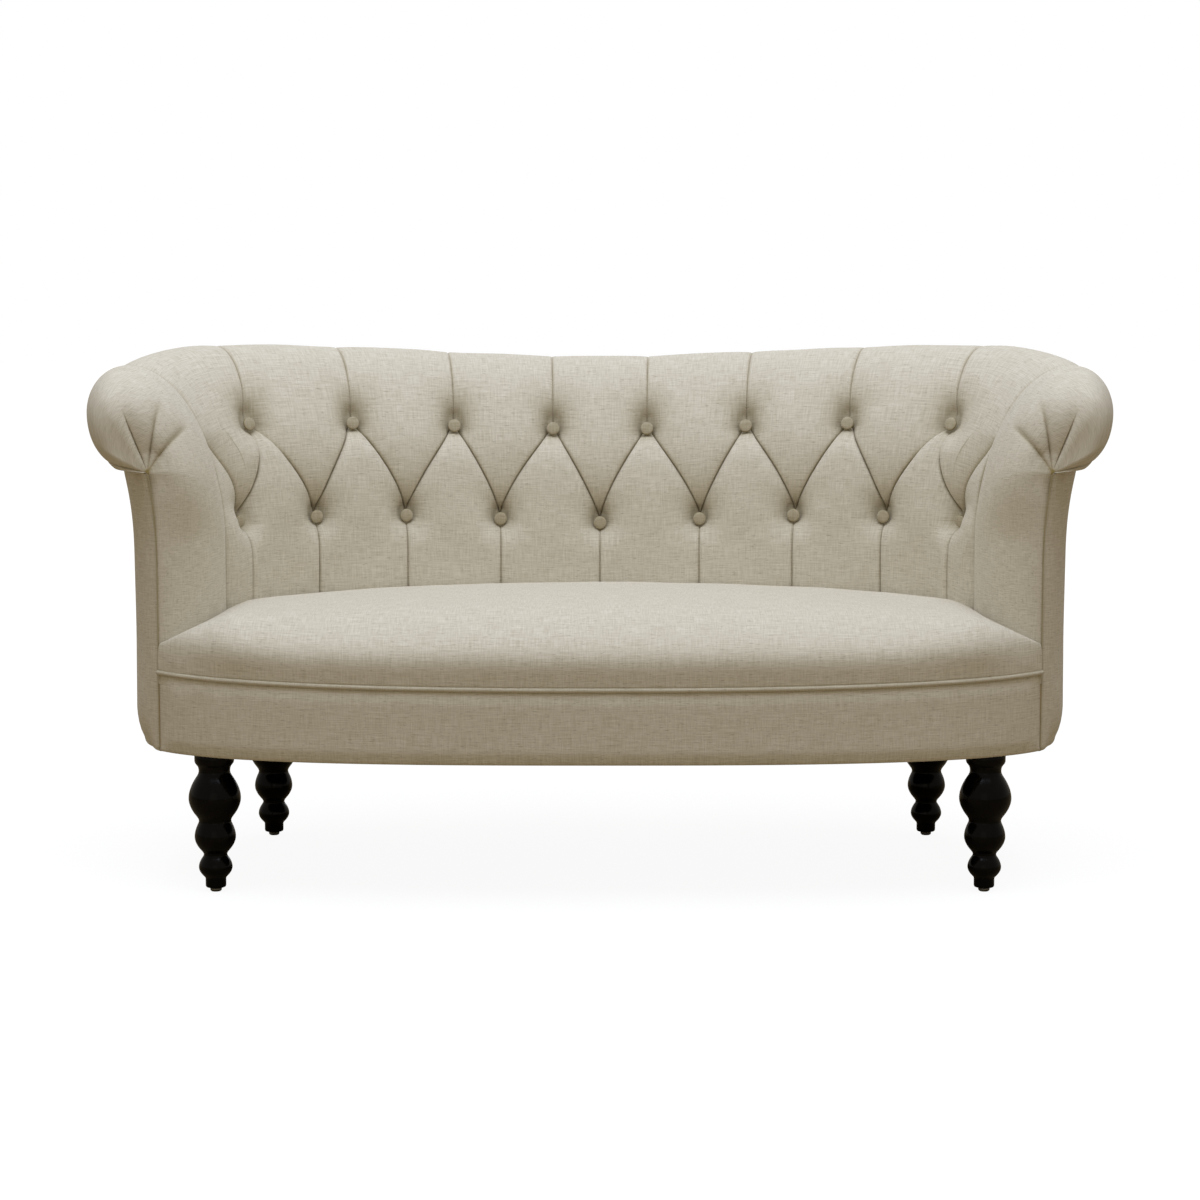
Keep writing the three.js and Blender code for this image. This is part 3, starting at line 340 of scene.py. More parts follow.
def tidy_mesh(obj, merge=2e-5, angle=60):
    """Merges doubled points, turns the faces outwards and shades the cloth smooth."""
    bpy.ops.object.select_all(action="DESELECT")
    obj.select_set(True)
    bpy.context.view_layer.objects.active = obj
    bpy.ops.object.mode_set(mode="EDIT")
    bpy.ops.mesh.select_all(action="SELECT")
    bpy.ops.mesh.remove_doubles(threshold=merge)
    bpy.ops.mesh.dissolve_degenerate(threshold=merge)
    bpy.ops.mesh.select_all(action="SELECT")
    bpy.ops.mesh.normals_make_consistent(inside=False)
    bpy.ops.object.mode_set(mode="OBJECT")
    bpy.ops.object.shade_smooth_by_angle(angle=math.radians(angle))
    return obj


def lofted(name, rings, cloth, painted_shade=None):
    """A closed skin from rings of points, its ends closed with one face each. Each point has its
    place on the flat cloth, and how much shade is painted on it in a fold, seam or funnel, 0 to 1."""
    rings, cloth = np.array(rings), np.array(cloth, np.float32)
    count, size = rings.shape[:2]
    first = np.arange(count - 1)[:, None] * size
    near = np.arange(size)[None, :]
    after = (near + 1) % size
    faces = np.stack([first + near, first + after, first + size + after, first + size + near], -1)
    faces = faces.reshape(-1, 4).tolist()
    faces.append(list(range(size)))
    faces.append(list(range((count - 1) * size, count * size))[::-1])
    mesh = bpy.data.meshes.new(name)
    mesh.from_pydata(rings.reshape(-1, 3).tolist(), [], faces)
    corners = np.zeros(len(mesh.loops), np.int32)
    mesh.loops.foreach_get("vertex_index", corners)
    layer = mesh.uv_layers.new(name="cloth")
    layer.data.foreach_set("uv", cloth.reshape(-1, 2)[corners].ravel())
    if painted_shade is not None:
        layer = mesh.attributes.new("painted_shade", "FLOAT", "POINT")
        layer.data.foreach_set("value", np.array(painted_shade, np.float32).ravel())
    made = bpy.data.objects.new(name, mesh)
    scene.collection.objects.link(made)
    return made


def black_cambric():
    """Thin black lining cloth, matt, its tight weave no more than a fine fleck."""
    material, tree, out = new_material("black cambric")
    where = node(tree, "TexCoord")
    fleck = node(tree, "TexNoise", Vector=where.outputs["Object"], Scale=900.0, Detail=2.0)
    tone = ramp(tree, fleck.outputs[0], "131314", "262628")
    bump = node(tree, "Bump", Height=fleck.outputs[0], Strength=0.3, Distance=0.0004)
    shader = node(tree, "BsdfPrincipled", Base_Color=tone, Roughness=0.9, Normal=bump.outputs[0])
    tree.links.new(shader.outputs[0], out.inputs["Surface"])
    return material


def outline_points(count, inset):
    """Points round the body's outline, drawn in by an inset."""
    turns = np.linspace(0, 2 * math.pi, count, endpoint=False)
    side, ahead = np.sin(turns), -np.cos(turns)
    power = np.where(ahead < 0, front_power, rear_power)
    depth = np.where(ahead < 0, front_depth, rear_depth)
    reach = (np.abs(side) ** power + np.abs(ahead) ** power) ** (-1 / power)
    return np.column_stack([side * reach * (body_half - inset),
                            arm_line + ahead * reach * (depth - inset)])


# How far in from the outline each ring of the cloth lies, and how far above the body's lower edge
cover_rings = []
for inset, rise in ((0.028, 0.0004), (0.027, -0.0006), (0.0285, -0.0012), (0.033, -0.0011),
                    (0.041, -0.0013), (0.06, -0.0020), (0.12, -0.0032), (0.22, -0.004)):
    edge = outline_points(180, inset)
    cover_rings.append(np.column_stack([edge, np.full(len(edge), body_bottom + rise)]))
cover_rings = np.array(cover_rings)
dust = lofted("dust_cover_cloth", cover_rings, cover_rings[..., :2])
tidy_mesh(dust)
dust.data.materials.append(black_cambric())
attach(dust, "root")
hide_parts("dust_cover")


# Seat. Foam over webbing under one close-fitting linen cover, crowned over the middle, rounded down
# to the welt along the front and pulled down beside the arms.
inner_half, inner_depth, inner_power = 0.566, 0.225, 2.2
pad_bottom = 0.3031
welt_level, welt_rise = 0.3108, 0.009
seam_gap = welt_radius * 0.4
seat_crown, seat_side_fall, seat_corner_fall = 0.008, 0.014, 0.0361
seat_roll, corner_roll, seat_roll_power = 0.130, 0.0015, 2.3
fall_run, roll_run = 0.108, 0.23
rear_tuck, tuck_reach, tuck_run = 0.006, 0.010, 0.08
front_swell, swell_rise, swell_fall, swell_run = 0.0095, 0.050, 0.055, 0.12
seat_inset, seat_rear_inset, seam_tuck = 0.0004, 0.001, 0.0018
lump_height = 0.0011


def linen(name, deep, pale, fleck, shade):
    """Slubby oatmeal linen. Its threads are under a millimetre, too fine for the view, so they are
    drawn as streaks 1 to 2 mm thick along both ways of the weave, with thicker slubs among them.
    Shade is painted into it: it darkens towards the painted shade colour in folds, seams and
    funnels."""
    material, tree, out = new_material(name)
    cloth = node(tree, "UVMap", {"uv_map": "cloth"}).outputs[0]
    ways = [node(tree, "Mapping", Vector=cloth, Scale=way) for way in ((30, 640, 1), (590, 36, 1))]
    weft, warp = [node(tree, "TexNoise", Vector=way.outputs[0], Scale=1.0, Detail=3.0,
                       Roughness=0.62) for way in ways]
    threads = node(tree, "Mix", {"data_type": "FLOAT"}, i0=0.45, i2=weft.outputs[0],
                   i3=warp.outputs[0])
    tone = ramp(tree, threads.outputs[0], deep, pale, 0.34, 0.63)
    short = node(tree, "Mapping", Vector=cloth, Scale=(100, 520, 1), Location=(3.1, 7.7, 0))
    slub = node(tree, "TexNoise", Vector=short.outputs[0], Scale=1.0, Detail=2.0)
    spots = node(tree, "MapRange", Value=slub.outputs[0], From_Min=0.60, From_Max=0.72, To_Min=0.0,
                 To_Max=0.6)
    slubby = node(tree, "Mix", {"data_type": "RGBA"}, i0=spots.outputs[0], i6=tone,
                  i7=linear(fleck))
    # Painted shade: the cloth colour is multiplied towards the shade colour by each point's painted
    # shade value, which is high in folds, seams and funnels.
    painted_shade_reader = node(tree, "Attribute", {"attribute_name": "painted_shade"})
    shaded = node(tree, "Mix", {"data_type": "RGBA", "blend_type": "MULTIPLY"},
                  i0=painted_shade_reader.outputs[2], i6=slubby.outputs[2], i7=linear(shade))
    knots = node(tree, "TexNoise", Vector=cloth, Scale=420.0, Detail=2.0)
    relief = node(tree, "Mix", {"data_type": "FLOAT"}, i0=0.4, i2=threads.outputs[0],
                  i3=knots.outputs[0])
    bump = node(tree, "Bump", Height=relief.outputs[0], Strength=0.35, Distance=0.0009)
    shader = node(tree, "BsdfPrincipled", Base_Color=shaded.outputs[2], Roughness=0.92,
                  Normal=bump.outputs[0], Specular_IOR_Level=0.25, Sheen_Weight=0.12,
                  Sheen_Roughness=0.5)
    tree.links.new(shader.outputs[0], out.inputs["Surface"])
    return material


oatmeal = linen("oatmeal linen", deep="b9b099", pale="d9d2c1", fleck="9a8f78", shade="a99b69")


def upholster(piece, fill, *replaced, slot="linen"):
    """Dresses a padded piece in linen and hides the imported parts that it stands for."""
    piece.data.materials.append(oatmeal)
    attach(piece, "root")
    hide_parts(*replaced)


def welt_height(x):
    """The middle of the welt, which climbs a little towards the corners."""
    return welt_level + welt_rise * (x / corner_x) ** 2


def rear_edge(x):
    """Where the seat meets the back, or the arm fronts beyond the ends of the inner face."""
    inside = arm_line + inner_depth * swell(np.minimum(1, np.abs(x) / inner_half), inner_power)
    out = np.clip((corner_x - np.abs(x)) / (corner_x - inner_half), 0, 1)
    beside = arm_line + (corner_y - arm_line) * swell(out, 2)
    return np.where(np.abs(x) < inner_half, inside, beside)


def cornerward(x, run):
    """How far a place is along its run to the front corner."""
    return np.maximum(0, np.abs(x) + run - corner_x) / run


def seat_height(x, y):
    """The top of the seat: rounded up from its hem, crowned, and lower beside the arms. Its front
    corners are lowest and squarest."""
    front, rear = front_edge(x), rear_edge(x)
    fall = seat_side_fall * (x / inner_half) ** 2
    fall = fall + seat_corner_fall * cornerward(x, fall_run) ** 1.2
    hem = welt_height(x) + seam_gap
    reach = np.maximum(0, y - front)
    roll = mix(seat_roll, corner_roll, cornerward(x, roll_run) ** 1.1)
    rounded = swell(1 - np.minimum(1, reach / roll), seat_roll_power)
    crown = np.sin(math.pi * np.minimum(1, reach / (rear - front + 0.0003)))
    tuck = rear_tuck * np.exp(-np.maximum(0, rear - y) / tuck_reach) * (1 - cornerward(x, tuck_run))
    crowned = seat_crown * crown * swell(x / corner_x, 2)
    return hem + (seat_level - fall - hem - tuck) * rounded + crowned


def unevenness(across, up, seed):
    """The slight lumps of hand-laid padding, a millimetre or two over some 100 to 200 mm."""
    waves = 0.0
    for i in range(7):
        turn, pitch = 1.9 * i + seed, 28 + 9 * i
        way = across * math.cos(turn) + up * math.sin(turn)
        waves = waves + np.sin(pitch * way + 2.7 * turn) / (i + 2)
    return lump_height * waves


# Rings across the seat, close together at its corners, each from the hem back and closed below. The
# front swells forward over the welt.
shares = np.concatenate([[0, 0.004, 0.009, 0.015], np.linspace(0.022, 1, 49)])
rings, cloths, painted_shades = [], [], []
for x in (corner_x - 0.0015) * np.sin(np.linspace(-math.pi / 2, math.pi / 2, 141)):
    front = front_edge(x) + seat_inset
    rear = max(front + 0.0006, float(rear_edge(x)) - seat_rear_inset)
    ys = mix(front, rear, 1 - np.cos(shares * math.pi / 2))
    zs = seat_height(x, ys - seat_inset)
    # Painted shade along the hem, just above the welt.
    painted_shade = 0.6 * np.exp(-(zs - zs[0]) / 0.0011)
    zs = zs + 1.2 * unevenness(x, ys, 4) * ease((zs - zs[0]) / 0.04) * ease((rear - ys) / 0.05)
    up = zs - zs[0]
    ys = np.minimum(ys + seam_tuck * np.exp(-up / 0.0014), rear)
    forward = front_swell * ease(up / swell_rise) * (1 - ease((up - swell_rise) / swell_fall))
    ys = ys - forward * (1 - ease(cornerward(x, swell_run)))
    section = np.vstack([np.column_stack([ys, zs]), [[rear, pad_bottom], [ys[0], pad_bottom]]])
    across = np.full((len(section), 1), x)
    rings.append(np.hstack([across, section]))
    cloths.append(np.hstack([across, way_along(section)[:, None]]))
    painted_shades.append(np.append(painted_shade, [0, 0]))
seat = lofted("seat_in_linen", rings, cloths, painted_shades)
tidy_mesh(seat, merge=8e-6)
upholster(seat, 0.85, "seat_cover", "seat_foam")


# Welt and front border. The border is linen over a thin pad on the front rail, turned under at the
# bottom; the welt is the same linen over a cord, sewn in where the seat meets the border.
border_puff, border_top_fall, border_sink = 0.0040, 0.0030, 0.0012
border_back, border_seam = 0.0068, 0.0052
end_tuck, end_reach = 0.0022, 0.0035


def turned_under(ways):
    """The turned-under bottom edge of a cover, from below the rail out to its face."""
    return np.column_stack([ways, body_bottom + np.array([-0.0004, -0.0006, 0.0002, 0.0022])])


def along_front(half, count, line):
    """Rings of a piece along the front. Each point of its line is a way out, a height and how much
    seam shade is painted on it."""
    ends = [half - 0.0012, half - 0.004]
    xs = half * np.sin(np.linspace(-math.pi / 2, math.pi / 2, count))
    xs = np.sort(np.concatenate([xs, ends, np.negative(ends)]))
    lines = np.array([line(x) for x in xs])
    ys = front_edge(xs)
    nx, ny = square_to(xs, ys, body_half, front_depth, front_power)
    out = lines[..., 0]
    rings = np.stack([xs[:, None] + nx[:, None] * out, ys[:, None] + ny[:, None] * out,
                      lines[..., 1]], -1)
    runs = way_along(rings[:, 0, :2])
    cloth = [np.column_stack([np.full(len(here), run), way_along(here[:, :2])])
             for here, run in zip(lines, runs)]
    return rings, cloth, lines[..., 2]


def border_line(x):
    """The border from under the rail up its padded face to the welt, and back down inside."""
    top = float(welt_height(x)) - seam_gap
    face = np.concatenate([np.linspace(0.05, 0.95, 22), [0.965, 0.98, 0.99]])
    heights = mix(body_bottom, top, face)
    from_end = corner_x - abs(x)
    puff = border_puff * ease(face / 0.18) - border_top_fall * (1 - ease((1 - face) / 0.2))
    out = puff * ease(from_end / 0.03) - border_sink - end_tuck * math.exp(-from_end / end_reach)
    out = out - seam_tuck * np.exp(-(top - heights) / 0.0014) + 0.3 * unevenness(x, heights, 6)
    over = [[-border_seam, top], [-border_back, top]]
    back = [[-border_back, body_bottom + 0.004], [-0.010, body_bottom + 0.001]]
    line = np.vstack([turned_under([-0.010, -0.006, -0.0032, -0.0015]),
                      np.column_stack([out, heights]), over, back])
    # Painted shade: a dark line just under the welt, and the whole border darker towards its ends.
    painted_shade = np.maximum(0.6 * np.exp(-(top - line[:, 1]) / 0.0012),
                        0.7 * math.exp(-from_end * 2 / end_reach))
    return np.column_stack([line, painted_shade])


def welt_line(x):
    """Round the welt, with shade painted on it: a little on its outer side, clear of the seam, and
    most on its inner side, deep in it.
    """
    angles = np.linspace(0, 2 * math.pi, 14, endpoint=False)
    return np.column_stack([welt_radius * np.cos(angles),
                            float(welt_height(x)) + welt_radius * np.sin(angles),
                            0.22 + 0.7 * ease(0.6 - np.cos(angles))])


border = lofted("front_border_linen", *along_front(corner_x - 0.0004, 181, border_line))
tidy_mesh(border)
welt = lofted("seat_welt_cord", *along_front(corner_x - seam_gap, 221, welt_line))
tidy_mesh(welt)
upholster(border, 1.0, "front_border", slot="linen_front")
upholster(welt, 1.0, "seat_welt", slot="linen_front")


# Tufted back and arms. Linen drawn over deep padding, folded into diamonds between two rows of
# buttons, pleated down to the seat and up over the scroll, and tacked under the scroll behind.
arm_top, corner_top = 0.765, 0.789
corner_share, lean_share = 0.808, 0.75
straight_share, lower_share, upper_share = 0.257, 0.268, 0.697
lower_climb, climb_share = 0.011, 0.46
corner_drift, drift_reach = 0.020, 0.13
scroll_crest, scroll_above = 0.010, 0.063
face_padding, scroll_padding = 0.044, 0.026
scroll_end = math.radians(-70)
step_shares = np.array([0, 0.111, 0.238, 0.341, 0.461, 0.574, 0.675, corner_share, 0.872, 1.0])
corner_step, last_step = 7, 9

arc_turns = np.linspace(0, math.pi / 2, 1441)
arc_x = inner_half * np.sin(arc_turns) ** (2 / inner_power)
arc_y = arm_line + inner_depth * np.maximum(0, np.cos(arc_turns)) ** (2 / inner_power)
arc_run = way_along(np.column_stack([arc_x, arc_y]))
arc_length = arc_run[-1]


def station(share):
    """Places on the inner face at shares of the way round, the way out there, and the wall's depth,
    top and lean. The depth to the body's outline is found by halving."""
    share = np.asarray(share, float)
    side = np.where(share < 0, -1.0, 1.0)
    wanted = np.minimum(np.abs(share), 1) * arc_length
    x, y = np.interp(wanted, arc_run, arc_x), np.interp(wanted, arc_run, arc_y)
    dx, dy = square_to(x, y, inner_half, inner_depth, inner_power)
    near, far = np.zeros_like(x), np.full_like(x, rear_depth)
    for _ in range(40):
        middle = (near + far) / 2
        inside = (((x + dx * middle) / body_half) ** rear_power
                  + (np.abs(y + dy * middle - arm_line) / rear_depth) ** rear_power) < 1
        near, far = np.where(inside, middle, near), np.where(inside, far, middle)
    reach = np.abs(share)
    arm_side = mix(arm_top, corner_top, ease((1 - reach) / (1 - corner_share)))
    back_side = mix(back_top, corner_top, ease(reach / corner_share))
    top = np.where(reach > corner_share, arm_side, back_side)
    lean = back_lean * ease((1 - reach) / lean_share)
    return side * x, y, side * dx, dy, near, top, lean


def step_share(step):
    """Share of the way round at a half step of the button grid."""
    return np.sign(step) * np.interp(np.abs(step), np.arange(last_step + 1), step_shares)


def wall_point(share, row, depth=0.0, pull=0.0):
    """A point of the covered wall. Row 0 is the foot of the padding, 1 and 2 the rows of buttons,
    3 the crest and 4 the end of the scroll. The depth is how far the cloth is drawn in square to
    itself there, and the pull how far it is drawn level into the wall."""
    settled = np.abs(share) - corner_share
    drift = corner_drift * np.exp(-(settled / drift_reach) ** 2) * ease(row - 2)
    x, y, dx, dy, wall, top, lean = station(np.abs(share) - drift)
    side = np.where(np.asarray(share) < 0, -1.0, 1.0)
    x, dx = x * side, dx * side
    straight = mix(seat_level, top, straight_share)
    lower = mix(seat_level, top, lower_share) + lower_climb * ease(np.abs(share) / climb_share)
    upper = mix(seat_level, top, upper_share)
    height = np.where(row < 1, mix(pad_bottom, lower, row), mix(lower, upper, row - 1))
    climb = np.arcsin(np.clip((height - straight) / (top - straight), 0, 1))
    highest = np.arcsin(np.clip((upper - straight) / (top - straight), 0, 1))
    angle = np.where(row < 2, climb, mix(highest, math.pi / 2, row - 2))
    angle = np.where(row > 3, mix(math.pi / 2, scroll_end, row - 3), angle)
    reach = wall + scroll_crest
    flat = (row < 2) & (height <= straight)
    across = np.where(flat, 0, reach - reach * np.cos(angle)) + depth * np.cos(angle)
    level = np.where(flat, height, mix(straight, top, np.sin(angle))) - depth * np.sin(angle)
    over, up = scroll_point(angle, depth)
    across = np.where(row > 3, reach + over, across)
    level = np.where(row > 3, top + up, level)
    risen = np.maximum(0, level - seat_level) / (top - seat_level)
    across = across + lean * risen + pull
    return np.stack([x + dx * across, y + dy * across, level], -1)


def scroll_point(angle, depth):
    """The roll of the scroll, outwards from its crest and down: fuller above than below."""
    under = np.maximum(0, np.cos(angle)) ** np.where(angle < 0, 1.4, 1.0)
    half = np.where(angle < 0, scroll_height - scroll_above, scroll_above)
    out = (scroll_overhang - scroll_crest - depth) * under
    return out, (half - depth) * np.sin(angle) - scroll_above


rows = np.concatenate([np.linspace(0, 0.45, 8)[:-1], np.linspace(0.45, 1, 34)[:-1],
                       np.linspace(1, 2, 50)[:-1], np.linspace(2, 3, 34)[:-1],
                       np.linspace(3, 4, 40)])
climbed = np.clip(rows - 1, 0, 1)
crease_spacing = np.array([0, 0.012, 0.028, 0.05, 0.085, 0.13, 0.19, 0.27, 0.37, 0.5, 0.66, 0.83,
                           1])
fold_bow, bow_change, arm_bow = 1.36, 0.14, 2.1
arm_sweep, pleat_spread = 0.030, 0.012


def crease(step):
    """Shares along the fold between half steps step and step + 1, for every row. It bows on its way
    up from button to button, and no two bow quite alike."""
    even, odd = (step, step + 1) if step % 2 == 0 else (step + 1, step)
    bow = fold_bow + bow_change * math.sin(2.4 * step + 0.6)
    if max(abs(even), abs(odd)) == last_step:
        bow = arm_bow
    line = mix(step_share(even), step_share(odd), climbed ** bow)
    if step in (corner_step, -corner_step - 1):
        line = line - np.sign(even) * arm_sweep * np.sin(math.pi * climbed ** 1.1)
    return line * (1 + pleat_spread * np.clip(1 - rows, 0, 1))


def panel_sides(first, last):
    """Columns of cloth from one step to another, as a fold and the lines midway to the next ones.
    Where two covers meet, both end along the same fold, which hides the seam."""
    sides = []
    for step in range(first, last):
        fold = crease(step)
        left, right = [np.full(len(rows), step_share(end)) for end in (step, step + 1)]
        if step > -last_step:
            left = fold if step == first else (crease(step - 1) + fold) / 2
        if step + 1 < last_step:
            right = fold if step + 1 == last else (fold + crease(step + 1)) / 2
        sides.append((left, fold, right))
    return sides


# Below the lower buttons, between the rows and above them: how deep the cloth lies in a fold, how
# much shade is painted along the fold, and how deep it lies beside the fold and in the broad hollow
# round it
fold_depths, painted_fold_shades = (0.0036, 0.0052, 0.0030), (0.4, 0.75, 0.5)
beside_depths, broad_depths = (0.0018, 0.0034, 0.0014), (0.0030, 0.0070, 0.0024)


def fold_depth(away, row, share):
    """How far the cloth is drawn in at a way from the nearest fold, and how much shade is painted
    there. The fold from each arm's button up to the corner button fades out on the way, and those
    over the scroll fade towards its crest."""
    passing = 1 - 0.8 * ease((row - 2.6) / 0.7)
    turning = ease((np.abs(share) - 0.72) / 0.04) * ease((0.90 - np.abs(share)) / 0.03)
    diagonal = ease((row - 0.94) / 0.1) * ease((2.06 - row) / 0.1)
    diagonal = diagonal * (1 - 0.85 * turning * ease((row - 1.45) / 0.3))
    parts = 1 - ease((row - 0.94) / 0.1), diagonal, ease((row - 1.96) / 0.1) * passing
    sharp, painted_crease_shade = [sum(value * part for value, part in zip(values, parts))
                     for values in (fold_depths, painted_fold_shades)]
    settled, arrived = ease((row - 0.72) / 0.42), ease((row - 1.72) / 0.56)
    beside, broad = [mix(mix(low, middle, settled), high, arrived) * passing
                     for low, middle, high in (beside_depths, broad_depths)]
    depth = sharp * np.exp(-away / 0.0011) + beside * np.exp(-away / 0.006)
    depth = depth + broad * np.exp(-(away / 0.024) ** 1.3)
    return depth, painted_crease_shade * np.exp(-away / 0.0012)


button_steps = {1: range(-8, 9, 2), 2: range(-7, 8, 2)}
# By row: how far its buttons lie below the grid, how deep their funnels are and how far in they sit
button_drop = {1: 0.004, 2: 0.0085}
pit_depths, button_seats = {1: 0.0245, 2: 0.0268}, {1: 0.0235, 2: 0.0262}
pit_floor, pit_slope = 0.0100, 0.0145
arm_plumpness = 0.013


def row_run(row):
    """Way up the cloth from its foot to a row, near enough for the wall as a whole."""
    return np.interp(row, range(5), [0, 0.211, 0.367, 0.53, 0.75])


def pit_depth(share, row):
    """The funnels at the buttons: flat under the button, steep beside it, long above it."""
    depth = np.zeros_like(share)
    for button_row, steps in button_steps.items():
        up = row_run(row) - row_run(button_row) + button_drop[button_row]
        widening = mix(1.0, 0.74, ease((up + 0.015) / 0.06))
        up = up * np.where(up > 0, 0.50, 1.25)
        for step in steps:
            across = (share - step_share(step)) * arc_length * widening
            away = np.maximum(0, np.hypot(across, up) - pit_floor)
            depth = np.maximum(depth, pit_depths[button_row] * np.exp(-away / pit_slope))
    return depth


def arm_bulge(share, row):
    """The padding of the arms is plumper low down, beside the seat."""
    beside = ease((np.abs(share) - 0.80) / 0.07) * ease((1.0 - np.abs(share)) / 0.045)
    return arm_plumpness * beside * ease(row / 0.4) * ease((1.25 - row) / 0.4)


def seam_groove(away):
    """How far the padding dips at the seam between an arm and its front, and how much shade is
    painted in the seam.
    """
    crack = np.exp(-away / 0.0024)
    return 0.0048 * crack + 0.002 * np.exp(-away / 0.012), crack


def tufted_pad(name, first, last):
    """One padded cover between two steps of the grid, closed behind."""
    columns, folds = [], []
    end_spacing = np.append(crease_spacing[:-1], [0.91, 0.955, 0.98, 0.993, 1])
    sides = panel_sides(first, last)
    for i, (left, fold, right) in enumerate(sides):
        leftwards = crease_spacing if i else end_spacing
        rightwards = crease_spacing if i < len(sides) - 1 else end_spacing
        line = [mix(fold, left, share) for share in leftwards[::-1]]
        line += [mix(fold, right, share) for share in rightwards[1:]]
        columns += line
        folds += [fold] * len(line)
    columns, folds = np.array(columns), np.array(folds)
    row_grid = np.broadcast_to(rows, columns.shape)
    slope = np.gradient(folds, axis=1) * arc_length / np.gradient(row_run(rows))
    wide = np.pad(slope, ((0, 0), (10, 10)), mode="edge")
    slope = sum(wide[:, i:i + slope.shape[1]] for i in range(21)) / 21
    away = np.abs(columns - folds) * arc_length / np.hypot(1, slope)
    depth, painted_shade = fold_depth(away, row_grid, columns)
    lumps = unevenness(columns * arc_length, row_run(row_grid), 2) * ease(away / 0.02)
    depth = depth + lumps - arm_bulge(columns, row_grid)
    pits = pit_depth(columns, row_grid)
    # Painted shade in the funnels round the buttons, kept with the painted shade along the folds
    # and the seams to the arm fronts.
    painted_shade = np.maximum(painted_shade, 0.5 * np.clip(pits / 0.024, 0, 1) ** 1.4)
    for edge in (first, last):
        if abs(edge) == last_step:
            groove, painted_crease_shade = seam_groove(np.abs(columns - step_share(edge)) * arc_length)
            depth, painted_shade = depth + groove, np.maximum(painted_shade, painted_crease_shade)
    outer = wall_point(columns, row_grid, depth, pits)
    back_rows = []
    angles = np.array([scroll_end, -math.pi / 4, 0, math.pi / 4, math.pi / 2])
    parts = (math.pi / 2 - angles) / (math.pi / 2 - scroll_end)
    behind = [(3 + part, scroll_padding) for part in parts]
    behind += [(row, face_padding) for row in (2.2, 1.3, 0.6, 0.0)]
    for i, (row, drawn) in enumerate(behind):
        share = mix(columns[:, -1], columns[:, 0], i / (len(behind) - 1))
        back_rows.append(wall_point(share, np.full_like(share, row), drawn))
    rings = np.concatenate([outer, np.stack(back_rows, 1)], 1)
    across = np.concatenate([columns, np.repeat(columns[:, -1:], len(back_rows), 1)], 1)
    behind_run = row_run(row_grid[:, -1:]) + 0.03 * np.arange(1, len(back_rows) + 1)
    cloth = np.stack([across * arc_length, np.concatenate([row_run(row_grid), behind_run], 1)], -1)
    painted_shade = np.concatenate([painted_shade, np.zeros((len(painted_shade), len(back_rows)))], 1)
    return tidy_mesh(lofted(name, rings, cloth, painted_shade), angle=75)


for name, first, last in (("inside_back", -corner_step - 1, corner_step + 1),
                          ("inside_arm_left", -last_step, -corner_step),
                          ("inside_arm_right", corner_step, last_step)):
    upholster(tufted_pad(name + "_tufted", first, last), 0.8, name)


# Arm fronts. Linen over a padded front that turns from the inside of the arm to its front edge; on
# the scroll it is gathered into four pleats that meet at one point under the roll.
panel_flare, flare_height, panel_thickness = 0.015, 0.130, 0.003
edge_gap = 0.0034


def panel_offset(height, top):
    """How far the outside flares out towards the scroll."""
    start = top - scroll_height - flare_height
    return panel_flare * np.maximum(0, (height - start) / flare_height) ** 2


def arm_frame(side, y):
    """A place on the outline beside an arm front and the way square to it."""
    x = side * body_half * swell((arm_line - np.asarray(y)) / front_depth, front_power)
    return x, y, *square_to(x, y, body_half, front_depth, front_power)


gather = arm_top - scroll_height
arm_straight = mix(seat_level, arm_top, straight_share)
reach = float(station(1.0)[4]) + scroll_crest
crest_turns = np.linspace(0, math.pi / 2, 81)
roll_turns = np.linspace(math.pi / 2, scroll_end, 91)[1:]
low_heights = np.linspace(pad_bottom, arm_straight, 31)[:-1]
over, up = scroll_point(roll_turns, 0.0)
section_across = np.concatenate([np.zeros(30), reach - reach * np.cos(crest_turns), reach + over])
section_height = np.concatenate([low_heights, mix(arm_straight, arm_top, np.sin(crest_turns)),
                                 arm_top + up])
section_turn = np.concatenate([np.full(30, -1.0), crest_turns, math.pi - roll_turns])

# Each pleat: its angle round the section, how far from the gather it reaches and how deep it is
pleats = [(43, 0.120, 1.0), (61, 0.122, 0.9), (96, 0.108, 0.9), (234, 0.170, 0.6)]


def pleated(from_gather):
    """How far the pleats draw the cloth in round the section, and how much shade is painted along
    them.
    """
    drawn, painted_shade = np.zeros_like(from_gather), np.zeros_like(from_gather)
    for degrees, extent, strength in pleats:
        aside = np.abs(section_turn - math.radians(degrees)) * from_gather * 0.75
        strength = strength * ease((extent - from_gather) / 0.05)
        sharp = np.exp(-aside / 0.0013)
        beside = 0.003 * np.exp(-aside / 0.005) + 0.0035 * np.exp(-(aside / 0.013) ** 1.4)
        drawn += strength * np.minimum(1, from_gather / 0.03) * (0.0042 * sharp + beside)
        painted_shade += 0.65 * strength * sharp
    return drawn, painted_shade


